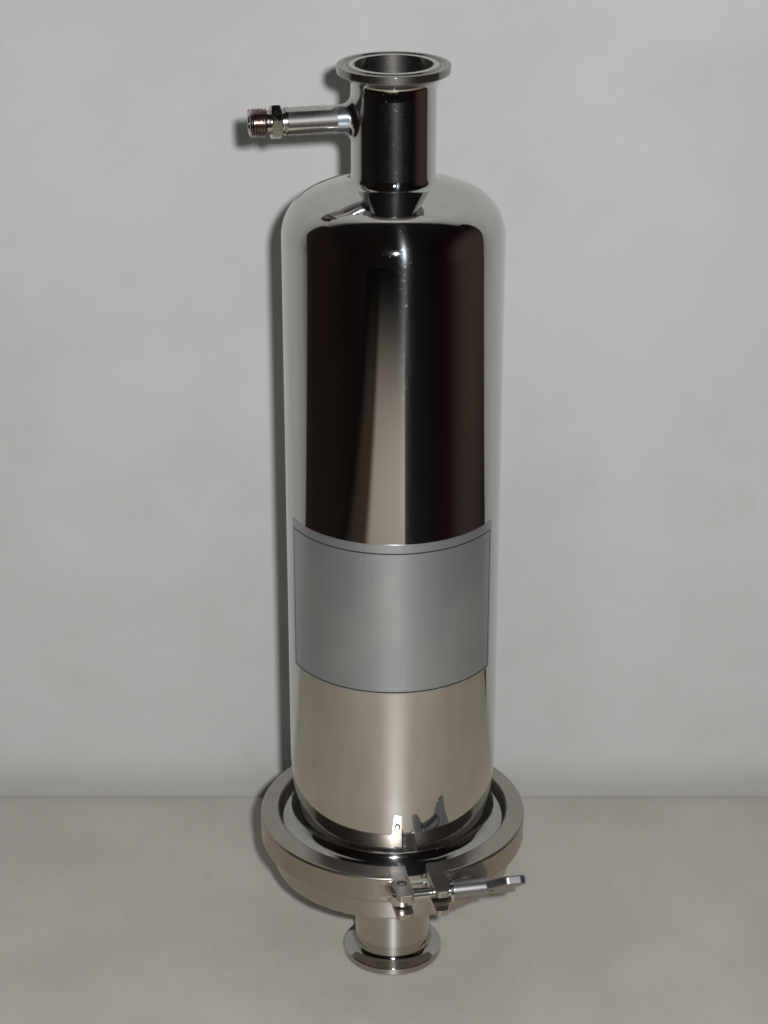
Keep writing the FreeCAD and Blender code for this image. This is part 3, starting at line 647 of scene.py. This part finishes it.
def dressed(piece: bpy.types.Object, finish: bpy.types.Material, body: str) -> bpy.types.Object:
    """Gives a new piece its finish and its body.

    Args:
        piece: the piece, in place.
        finish: its material.
        body: the CAD body that it rides on.

    Returns:
        The same piece.
    """
    piece.data.materials.clear()
    piece.data.materials.append(finish)
    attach(piece, body)
    log.info("%s: %d faces on %s", piece.name, len(piece.data.polygons), body)
    return piece


def refinish(nodes: Iterable[str], finish: bpy.types.Material) -> None:
    """Gives CAD nodes that keep their shape a better material.

    Args:
        nodes: their names.
        finish: the material.
    """
    for name in nodes:
        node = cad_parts[name]
        node.data.materials.clear()
        node.data.materials.append(finish)
        log.info("%s: finish %s", name, finish.name)


# Threads


@dataclass(frozen=True)
class ThreadSize:
    """Sizes of an outside thread, in millimetres."""

    crest: float
    end_crest: float
    length: float
    pitch: float
    depth: float


class ThreadTree:
    """Geometry Nodes tree that winds a V-shaped ridge round the Z axis."""

    def __init__(self) -> None:
        """Builds the tree with named inputs for its sizes."""
        tree = bpy.data.node_groups.new("thread_ridge", "GeometryNodeTree")
        self.tree = tree
        face = tree.interface
        face.new_socket("Geometry", in_out="INPUT", socket_type="NodeSocketGeometry")
        for name in ("Start Radius", "End Radius", "Length", "Turns", "Depth"):
            face.new_socket(name, in_out="INPUT", socket_type="NodeSocketFloat")
        face.new_socket("Material", in_out="INPUT", socket_type="NodeSocketMaterial")
        face.new_socket("Geometry", in_out="OUTPUT", socket_type="NodeSocketGeometry")
        given = tree.nodes.new("NodeGroupInput").outputs
        spiral = tree.nodes.new("GeometryNodeCurveSpiral")
        spiral.inputs["Resolution"].default_value = 72
        link = tree.links.new
        link(given["Turns"], spiral.inputs["Rotations"])
        link(given["Start Radius"], spiral.inputs["Start Radius"])
        link(given["End Radius"], spiral.inputs["End Radius"])
        link(given["Length"], spiral.inputs["Height"])
        upright = tree.nodes.new("GeometryNodeSetCurveNormal")
        upright.mode = "Z_UP"
        link(spiral.outputs[0], upright.inputs["Curve"])
        ridge = tree.nodes.new("GeometryNodeCurvePrimitiveCircle")
        ridge.inputs["Resolution"].default_value = 4
        link(given["Depth"], ridge.inputs["Radius"])
        swept = tree.nodes.new("GeometryNodeCurveToMesh")
        swept.inputs["Fill Caps"].default_value = True
        link(upright.outputs[0], swept.inputs["Curve"])
        link(ridge.outputs[0], swept.inputs["Profile Curve"])
        real = tree.nodes.new("GeometryNodeRealizeInstances")
        link(swept.outputs[0], real.inputs[0])
        coated = tree.nodes.new("GeometryNodeSetMaterial")
        link(real.outputs[0], coated.inputs["Geometry"])
        link(given["Material"], coated.inputs["Material"])
        link(coated.outputs[0], tree.nodes.new("NodeGroupOutput").inputs[0])

    def wind(self, name: str, size: ThreadSize, finish: bpy.types.Material) -> bpy.types.Mesh:
        """Makes one ridge as a plain mesh that starts at the origin and climbs along +Z.

        Args:
            name: the mesh's name.
            size: the thread's sizes.
            finish: its material.

        Returns:
            The mesh, in metres.
        """
        holder = bpy.data.objects.new(name + "_holder", bpy.data.meshes.new(name + "_holder"))
        bpy.context.scene.collection.objects.link(holder)
        modifier = holder.modifiers.new("thread", "NODES")
        modifier.node_group = self.tree
        values = {
            "Start Radius": (size.crest - size.depth) * MM,
            "End Radius": (size.end_crest - size.depth) * MM,
            "Length": size.length * MM,
            "Turns": size.length / size.pitch,
            "Depth": size.depth * MM,
            "Material": finish,
        }
        for item in self.tree.interface.items_tree:
            if item.in_out == "INPUT" and item.name in values:
                modifier[item.identifier] = values[item.name]
        graph = bpy.context.evaluated_depsgraph_get()
        graph.update()
        mesh = bpy.data.meshes.new_from_object(holder.evaluated_get(graph))
        mesh.name = name
        bpy.data.objects.remove(holder)
        return mesh


# Sub-assemblies


@dataclass
class Vessel:
    """Shell, dome, necks and ferrules, as the solids have them."""

    sheet: tuple[str, ...] = ("bowl_tube", "dome_head")
    tubes: tuple[str, ...] = ("inlet_tube", "outlet_tube")
    turned: tuple[str, ...] = (
        "outlet_ferrule", "bowl_flange", "base_flange", "socket_cup", "bayonet_ring"
    )

    def dress(self, wardrobe: Wardrobe) -> None:
        """Gives each node its polish."""
        refinish(self.sheet, wardrobe.shell)
        refinish(self.tubes, wardrobe.drawn)
        refinish(("vent_tube",), wardrobe.branch)
        refinish(self.turned, wardrobe.turned)
        refinish(("inlet_ferrule",), wardrobe.head)
        refinish(("body_gasket",), wardrobe.silicone)


@dataclass
class Label:
    """Foil wrapped on the front of the shell, its sizes in millimetres and its angles in degrees."""

    radius: float = 50.8
    thickness: float = 0.16
    sunk: float = 0.02
    middle: float = -12.7
    half_angle: float = 66.0
    low: float = 177.0
    high: float = 254.0
    columns: int = 120
    rows: int = 8

    def finish(self) -> LabelFoil:
        """Finish that fits the foil's sizes."""
        half_width = math.radians(self.half_angle) * self.radius
        return LabelFoil("label_foil", self.radius, self.middle, half_width, self.low, self.high)

    def build(self, foil: bpy.types.Material) -> None:
        """Makes the foil as a thin closed sheet."""
        verts = []
        for depth in (self.radius - self.sunk, self.radius + self.thickness):
            for row in range(self.rows + 1):
                height = self.low + (self.high - self.low) * row / self.rows
                for column in range(self.columns + 1):
                    turn = math.radians(self.middle + self.half_angle * (2 * column / self.columns - 1))
                    verts.append((depth * math.sin(turn) * MM, -depth * math.cos(turn) * MM, height * MM))
        wide = self.columns + 1
        layer = wide * (self.rows + 1)
        faces = []
        for base in (0, layer):
            for row in range(self.rows):
                for column in range(self.columns):
                    a = base + row * wide + column
                    faces.append((a, a + 1, a + wide + 1, a + wide))
        rim = list(range(wide))
        rim += [row * wide + self.columns for row in range(1, self.rows + 1)]
        rim += [self.rows * wide + column for column in range(self.columns - 1, -1, -1)]
        rim += [row * wide for row in range(self.rows - 1, 0, -1)]
        for here, after in zip(rim, rim[1:] + rim[:1]):
            faces.append((here, after, after + layer, here + layer))
        mesh = bpy.data.meshes.new("label_foil")
        mesh.from_pydata(verts, [], faces)
        dressed(make_piece("label_foil", mesh), foil, "housing")


@dataclass
class Connector:
    """Threaded male connector at the end of the vent branch, in millimetres and degrees."""

    node: str = "vent_connector"
    tube_radius: float = 6.35
    collar: float = 1.3
    collar_edge: float = 0.2
    neck_depth: float = 0.9
    neck_edge: float = 0.1
    hex_from: float = 2.6
    hex_thickness: float = 4.6
    hex_flats: float = 14.0
    hex_turn: float = 18.0
    hex_inner_chamfer: float = 0.7
    hex_outer_chamfer: float = 0.5
    relief_radius: float = 5.43
    thread_from: float = 9.5
    thread_run_in: float = 0.4
    thread_gap: float = 0.1
    root_below: float = 1.25
    thread: ThreadSize = field(default_factory=lambda: ThreadSize(6.58, 6.5, 6.6, 1.337, 0.62))
    bore: float = 3.5
    bore_chamfer: float = 0.4
    end: float = 16.7
    end_chamfer: float = 0.6
    sharp: float = 24.0

    def _hex_reach(self, radius: float, height: float, angle: float) -> float:
        """Radius of the hexagon's flats, cut by its turned chamfers."""
        if radius <= self.hex_flats / 2 + 0.01:
            return radius
        flat = self.hex_flats / 2 / math.cos((angle + math.pi / 6) % (math.pi / 3) - math.pi / 6)
        return min(radius, flat)

    @staticmethod
    def _cone(start: Point2, end: Point2, steps: int = 6) -> list[Corner]:
        """Points of a turned chamfer, close enough to cut the hexagon's flats in clean arcs."""
        (radius, height), (end_radius, end_height) = start, end
        parts = [step / steps for step in range(steps + 1)]
        return [(radius + (end_radius - radius) * t, height + (end_height - height) * t, 0.0) for t in parts]

    def _laid(self, mesh: bpy.types.Mesh, start: float, axis_height: float) -> bpy.types.Mesh:
        """Turns a mesh made upright to lie along -X from a distance to the vessel's axis."""
        move = Matrix.Translation((-start * MM, 0, axis_height * MM))
        mesh.transform(move @ Matrix.Rotation(math.radians(-90), 4, "Y"))
        return mesh

    def build(self, threads: ThreadTree, wardrobe: Wardrobe) -> None:
        """Makes the body and winds its thread."""
        low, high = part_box(self.node)
        start = -high.x / MM
        axis_height = (low.z + high.z) / 2 / MM
        half_flats = self.hex_flats / 2
        corner = half_flats / math.cos(math.pi / 6)
        hex_to = self.hex_from + self.hex_thickness
        root = self.thread.crest - self.thread.depth * self.root_below
        neck = self.tube_radius - self.neck_depth
        outline = rounded([
            (self.bore, 0, 0),
            (self.tube_radius, 0, 0),
            (self.tube_radius, self.collar, self.collar_edge),
            (neck, self.collar, self.neck_edge),
            (neck, self.hex_from, 0),
            *self._cone((half_flats, self.hex_from), (corner, self.hex_from + self.hex_inner_chamfer)),
            *self._cone((corner, hex_to - self.hex_outer_chamfer), (half_flats, hex_to)),
            (self.relief_radius, hex_to, 0),
            (self.relief_radius, self.thread_from, 0),
            (root, self.thread_from + self.thread_run_in, 0),
            (root, self.end - self.end_chamfer, 0),
            (root - self.end_chamfer, self.end, 0),
            (self.bore + self.bore_chamfer, self.end, 0),
            (self.bore, self.end - self.bore_chamfer, 0),
        ], steps=3)
        body = lathe_mesh("vent_connector_body", outline, reach=self._hex_reach)
        body.transform(Matrix.Rotation(math.radians(self.hex_turn), 4, "Z"))
        piece = make_piece("vent_connector_body", self._laid(body, start, axis_height), self.sharp)
        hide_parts(self.node)
        dressed(piece, wardrobe.connector, "housing")
        ridge = threads.wind("vent_thread", self.thread, wardrobe.thread)
        ridge = self._laid(ridge, start + self.thread_from + self.thread_gap, axis_height)
        piece = make_piece("vent_thread", ridge, self.sharp)
        dressed(piece, wardrobe.thread, "housing")


@dataclass
class Clamp:
    """Clamp halves with their pins, the swing bolt and the wing nut."""

    halves: tuple[str, ...] = ("clamp_half_left", "clamp_half_right")
    pins: tuple[str, ...] = ("hinge_pin", "bolt_pin")
    bolt: tuple[str, ...] = ("swing_bolt", "nut_washer")

    def dress(self, wardrobe: Wardrobe) -> None:
        """Gives the clamp's pieces their finishes."""
        refinish(self.halves, wardrobe.clamp)
        refinish(self.pins, wardrobe.pin)
        refinish(self.bolt, wardrobe.bolt)
        refinish(("wing_nut",), wardrobe.nut)


@dataclass
class Cartridge:
    """Pleated filter cartridge inside the vessel."""

    moulded: tuple[str, ...] = (
        "cartridge_adapter", "cartridge_end_cap", "cartridge_core", "cartridge_cage", "cartridge_top_cap"
    )

    def dress(self, wardrobe: Wardrobe) -> None:
        """Gives the cartridge its plastics, rubber and membrane."""
        refinish(self.moulded, wardrobe.plastic)
        refinish(("adapter_o_rings",), wardrobe.rubber)
        refinish(("pleated_pack",), wardrobe.membrane)


# Studio


# Room that the steel mirrors, from the left of the view to its right
ROOM_TONES = (
    (0.05, (0.0145, 0.0090, 0.0065)),
    (0.10, (0.0105, 0.0068, 0.0045)),
    (0.16, (0.0055, 0.0040, 0.0040)),
    (0.28, (0.0070, 0.0055, 0.0045)),
    (0.70, (0.0085, 0.0070, 0.0065)),
    (0.78, (0.0055, 0.0040, 0.0042)),
    (0.86, (0.0070, 0.0020, 0.0025)),
    (0.90, (0.0110, 0.0040, 0.0050)),
    (0.93, (0.0260, 0.0180, 0.0150)),
    (0.97, (0.0500, 0.0380, 0.0310)),
)


@dataclass(frozen=True)
class Lamp:
    """Round area lamp, placed in the camera-square frame."""

    name: str
    place: Point3
    size: float
    watts: float
    colour: Colour
    mirrored: bool


@dataclass
class Studio:
    """Table, wall, lamps and camera, square to the camera's own direction, its sizes in metres."""

    wall_behind: float = 0.150
    wall_half: float = 0.62
    wall_seen_top: float = 1.05
    wall_top: float = 2.8
    wall_mirrored: Point2 = (-1.6, 0.95)
    edge_blur: float = 0.05
    table_reach: float = 0.55
    strip_near: float = 0.565
    strip_far: float = 1.75
    strip_far_ends: Point2 = (-0.60, 0.336)
    floor_half: float = 4.0
    mirrored_level: float = -0.0001
    floor_level: float = -0.0005
    pale_reach: Point2 = (0.6, 1.7)
    key: Lamp = Lamp("key", (0.043, -1.02, 0.735), 0.03, 13.0, (1.0, 1.0, 1.0), True)
    top: Lamp = Lamp("top", (0.0, -0.2, 1.7), 0.6, 2.0, (1.0, 0.99, 0.97), False)
    aim: Point3 = (0.0, 0.0, 0.23)
    camera_place: Point3 = (-0.1944, -0.9776, 0.6929)
    camera_pitch: float = 24.06
    lens: float = 80.5
    background: Colour = (0.42, 0.42, 0.40)
    turned: Matrix = field(default_factory=lambda: Matrix.Rotation(math.radians(VIEW_AZIMUTH), 4, "Z"))

    def _sheet(self, name: str, corners: Sequence[Point3], finish: bpy.types.Material) -> bpy.types.Object:
        """One flat stage sheet from its corners in the camera-square frame."""
        mesh = bpy.data.meshes.new(name)
        mesh.from_pydata([tuple(self.turned @ Vector(c)) for c in corners], [], [tuple(range(len(corners)))])
        mesh.materials.append(finish)
        sheet = bpy.data.objects.new(name, mesh)
        bpy.context.scene.collection.objects.link(sheet)
        return sheet

    def _upright(
        self, name: str, ends: Point2, ahead: float, top: float, finish: bpy.types.Material
    ) -> bpy.types.Object:
        """A stage sheet that stands across the view."""
        left, right = ends
        corners = [(left, ahead, 0), (right, ahead, 0), (right, ahead, top), (left, ahead, top)]
        return self._sheet(name, corners, finish)

    def _arc(self, reach: float, first: float, step: float, count: int) -> list[Point3]:
        """Corners on a level arc about the vessel's axis, from its first angle and its step in degrees."""
        turns = [math.radians(first + step * index) for index in range(count)]
        return [(reach * math.cos(t), reach * math.sin(t), self.mirrored_level) for t in turns]

    def _only_mirrored(self, sheet: bpy.types.Object) -> None:
        """Shows a sheet in the steel alone."""
        sheet.visible_camera = False
        sheet.visible_diffuse = False
        sheet.visible_shadow = False
        sheet.visible_transmission = False

    def _square(self, shader: Shader) -> tuple[Socket, Socket, Socket]:
        """Coordinates across, towards the wall and up, in the camera-square frame."""
        turn = (0.0, 0.0, math.radians(-VIEW_AZIMUTH))
        return shader.split(shader.node("ShaderNodeMapping", None, shader.place(), Rotation=turn))

    def _soft_edges(self, across: Socket, up: Socket) -> Socket:
        """Share of the mirrored wall that has faded out, past its uneven sides and near its top."""
        rising = up.between(0.0, 0.25, 0.30, 0.83) - up.between(0.35, 0.62, 0.0, 0.26)
        right = across - (rising + up.between(0.75, 1.8, 0.0, 0.7))
        left = 0 - across - (up.between(0.40, 0.64, 1.50, 0.75) + up.between(0.85, 1.9, 0.0, 0.7))
        above = up.between(self.wall_top * 0.8, self.wall_top)
        return right.most(left).between(-self.edge_blur, 0.0).most(above)

    def _wall_paint(self, name: str, soft_edges: bool) -> bpy.types.Material:
        """Matt off-white wall paint with painted shade along its bottom edge and painted light that makes it
        paler higher up, seen through from behind, or fading out at its edges.
        """
        shader = Shader(name)
        place = shader.place()
        mottle = shader.noise(place, 9.0, 5.0, 0.6)
        stains = shader.noise(place, 34.0, 4.0, 0.65)
        colour = shader.mix(mottle.between(0.35, 0.7), (0.50, 0.508, 0.50), (0.455, 0.462, 0.452))
        colour = shader.mix(stains.between(0.6, 0.8) * 0.3, colour, (0.40, 0.40, 0.395))
        across, _, up = self._square(shader)
        # Painted shade: the wall darkens towards its bottom edge, where it meets the table.
        painted_foot_shade = 1 - up.between(0.0, 0.035)
        colour = shader.mix(painted_foot_shade * 0.55, colour, (0.28, 0.275, 0.262))
        # Painted light: the wall turns paler higher up.
        colour = shader.mix(up.between(0.6, 1.8), colour, (0.85, 0.84, 0.80))
        surface = shader.surface(Base_Color=colour, Roughness=0.8, Specular_IOR_Level=0.15)
        if soft_edges:
            hidden = self._soft_edges(across, up)
        else:
            hidden = shader.node("ShaderNodeNewGeometry", None, output=BACKFACING)
        clear = shader.node("ShaderNodeBsdfTransparent", None)
        return shader.finish(shader.blend(hidden, surface, clear))

    def _table_paint(self, name: str, tint: Colour, sheen: float, far_pale: bool) -> bpy.types.Material:
        """Pale table top with a faint grain, which the camera sees run out into the pale background."""
        shader = Shader(name)
        mottle = shader.noise(shader.place(), 14.0, 5.0, 0.6)
        grain = shader.lines(Grain.BOARD, 4.0, 0.6)
        colour = shader.mix(mottle.between(0.35, 0.7), (0.485, 0.46, 0.428), (0.44, 0.415, 0.385))
        colour = shader.mix(grain.between(0.5, 0.8) * 0.3, colour, (0.39, 0.365, 0.335))
        # Tint multiplied in: the copy seen only in the steel gets a painted warm tint on the table's
        # reflection.
        multiply = {"data_type": "RGBA", "blend_type": "MULTIPLY"}
        colour = shader.node("ShaderNodeMix", multiply, 1.0, colour, tint)
        surface = shader.surface(Base_Color=colour, Roughness=0.42, Specular_IOR_Level=sheen)
        if far_pale:
            seen = shader.node("ShaderNodeLightPath", None)
            pale = shader.node("ShaderNodeEmission", None, self.background)
            surface = shader.blend(seen * shader.radius().between(*self.pale_reach), surface, pale)
        return shader.finish(surface)

    def _strip_paint(self) -> bpy.types.Material:
        """Floor beyond the table, seen only in the steel, that darkens with distance: a near-black base of
        painted shade, with a pale band and a dim brown patch of painted light that fade out.
        """
        shader = Shader("floor_strip")
        across, ahead, _ = self._square(shader)
        # Painted light falloff: the lit patches fade out with distance.
        near = 1 - (0 - ahead).between(0.62, 1.22)
        # Painted light: a pale lit band across the middle.
        pale = across.between(-0.31, -0.23) * near
        # Painted light: a dim brown glow on the left, which fades out with distance.
        brown = across.between(-0.48, -0.40) * (1 - (0 - ahead).between(0.75, 1.15))
        # Near-black base: painted shade of the unlit floor.
        colour = shader.mix(brown, (0.006, 0.005, 0.004), (0.045, 0.033, 0.024))
        colour = shader.mix(pale, colour, (0.33, 0.30, 0.26))
        return shader.finish(shader.surface(Base_Color=colour, Roughness=0.9, Specular_IOR_Level=0.0))

    def build_stage(self) -> None:
        """Lays the table and sets up the wall."""
        table = self._table_paint("table_top", (1.0, 1.0, 1.0), 0.1, True)
        # Glossier copy of the table seen only in the steel, with a painted warm tint on its reflection.
        warm = self._table_paint("table_top_painted_warm", (1.0, 0.95, 0.84), 0.45, False)
        back, reach, level = self.wall_behind, self.table_reach, self.mirrored_level
        ends = (-self.wall_half, self.wall_half)
        wall = self._upright("wall", ends, back, self.wall_seen_top, self._wall_paint("wall_paint", False))
        wall.visible_glossy = False
        wall.visible_shadow = False
        ends, soft = self.wall_mirrored, self._wall_paint("wall_paint_soft", True)
        self._only_mirrored(self._upright("wall_mirrored", ends, back - MM, self.wall_top, soft))
        corners = [*self._arc(reach, 180.0, 7.5, 25), (reach, back, level), (-reach, back, level)]
        self._only_mirrored(self._sheet("table_mirrored", corners, warm))
        half, low = self.floor_half, self.floor_level
        corners = [(-half, -half, low), (half, -half, low), (half, half, low), (-half, half, low)]
        apron = self._sheet("floor", corners, table)
        apron.visible_glossy = False
        # Sheet seen only in the steel, carrying the floor's painted shade and painted light.
        near = self._arc(self.strip_near, 282.0, -8.0, 10)
        far = [(end, -self.strip_far, level) for end in self.strip_far_ends]
        self._only_mirrored(self._sheet("floor_strip", [*near, *far], self._strip_paint()))

    def build_light(self) -> None:
        """Flash by the lens, a dim room and a soft lamp above."""
        self._hang(self.key)
        self._hang(self.top)
        world = bpy.data.worlds.new("room")
        room = RoomShader(world)
        ahead = room.node("ShaderNodeTexCoord", None)
        sideways = tuple(self.turned @ Vector((1, 0, 0)))
        across = room.node("ShaderNodeVectorMath", {"operation": "DOT_PRODUCT"}, ahead, sideways)
        tint = room.node("ShaderNodeValToRGB", {"stops": ROOM_TONES}, 0.5 + 0.5 * across)
        dim = room.node("ShaderNodeBackground", None, tint)
        pale = room.node("ShaderNodeBackground", None, self.background)
        seen = room.node("ShaderNodeLightPath", None)
        room.node("ShaderNodeOutputWorld", None, room.blend(seen, dim, pale))
        bpy.context.scene.world = world

    def _hang(self, lamp: Lamp) -> None:
        """Hangs a lamp so that it faces the vessel's middle."""
        data = bpy.data.lights.new(lamp.name, "AREA")
        data.shape = "DISK"
        data.size = lamp.size
        data.energy = lamp.watts
        data.color = lamp.colour
        hung = bpy.data.objects.new(lamp.name, data)
        hung.location = self.turned @ Vector(lamp.place)
        aim = Vector(self.aim) - hung.location
        hung.rotation_euler = aim.to_track_quat("-Z", "Y").to_euler()
        hung.visible_glossy = lamp.mirrored
        bpy.context.scene.collection.objects.link(hung)

    def build_camera(self) -> None:
        """Sets the camera at the photograph's angle."""
        data = bpy.data.cameras.new("camera")
        data.sensor_width = 36.0
        data.lens = self.lens
        data.clip_start = 0.02
        data.clip_end = 30.0
        camera = bpy.data.objects.new("camera", data)
        camera.location = self.camera_place
        camera.rotation_euler = Euler((math.radians(90 - self.camera_pitch), 0, math.radians(VIEW_AZIMUTH)))
        bpy.context.scene.collection.objects.link(camera)
        bpy.context.scene.camera = camera
        bpy.context.scene.view_settings.view_transform = "Standard"


def build_wardrobe(label: Label) -> Wardrobe:
    """Builds every finish once.

    Args:
        label: the label, whose foil is drawn to its sizes.

    Returns:
        The finishes.
    """
    steel = (0.565, 0.555, 0.54)
    return Wardrobe(
        shell=PolishedSteel("polished_shell", steel, streak_roughness=0.24, streak_turn=4.3).build(),
        turned=PolishedSteel(
            "turned_steel", (0.45, 0.435, 0.42), roughness=0.05, streak=0.035, streak_roughness=0.32
        ).build(),
        head=PolishedSteel(
            "head_steel", (0.31, 0.295, 0.28), roughness=0.05, streak=0.16, streak_roughness=0.5,
            streak_draw=0.5, streak_colour=(0.50, 0.48, 0.46), neck_colour=steel
        ).build(),
        drawn=PolishedSteel(
            "drawn_neck", steel, roughness=0.04, streak=0.03, streak_roughness=0.45, streak_turn=1.5,
            streak_draw=0.8, collar_haze=0.55
        ).build(),
        branch=WavySteel(
            "drawn_branch", steel, wave_size=0.004, wave_depth=0.00004, roughness=0.07, haze=0.3,
            haze_roughness=0.55, haze_draw=0.6, ripple=(1.0, 0.12, 0.12)
        ).build(),
        clamp=CastSteel(
            "clamp_steel", (0.42, 0.39, 0.36), roughness=0.13, grain_size=0.0012, grain_depth=0.0000004,
            wave_depth=0.000004, haze=0.45
        ).build(),
        nut=CastSteel(
            "nut_steel", (0.34, 0.34, 0.355), roughness=0.26, grain_size=0.0006, grain_depth=0.000004,
            wave_depth=0.00001, haze=0.6
        ).build(),
        pin=StainedSteel(
            "pin_steel", (0.30, 0.27, 0.25), (0.08, 0.055, 0.05), amount=0.5, roughness=0.22
        ).build(),
        bolt=WavySteel(
            "bright_bolt", (0.60, 0.59, 0.57), wave_size=0.004, wave_depth=0.00001, roughness=0.12, haze=0.2
        ).build(),
        connector=StainedSteel(
            "connector_steel", (0.46, 0.45, 0.42), (0.16, 0.11, 0.09), amount=0.35, roughness=0.13
        ).build(),
        thread=StainedSteel(
            "thread_steel", (0.40, 0.33, 0.32), (0.12, 0.07, 0.06), amount=0.8, roughness=0.14
        ).build(),
        foil=label.finish().build(),
        silicone=Moulded("silicone", (0.30, 0.31, 0.27), roughness=0.38, glow=0.1).build(),
        plastic=Moulded("polypropylene", (0.80, 0.79, 0.74), roughness=0.42, glow=0.2).build(),
        rubber=Moulded("o_ring_rubber", (0.02, 0.02, 0.02), roughness=0.45).build(),
        membrane=Moulded(
            "membrane", (0.82, 0.81, 0.77), roughness=0.75, grain_size=0.0004, grain_depth=0.00004
        ).build(),
    )


def main() -> None:
    logging.basicConfig(level=logging.INFO, format="%(message)s")
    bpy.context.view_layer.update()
    label = Label()
    wardrobe = build_wardrobe(label)
    threads = ThreadTree()
    Vessel().dress(wardrobe)
    label.build(wardrobe.foil)
    Connector().build(threads, wardrobe)
    Clamp().dress(wardrobe)
    Cartridge().dress(wardrobe)
    studio = Studio()
    studio.build_stage()
    studio.build_light()
    studio.build_camera()


if __name__ == "__main__":
    main()
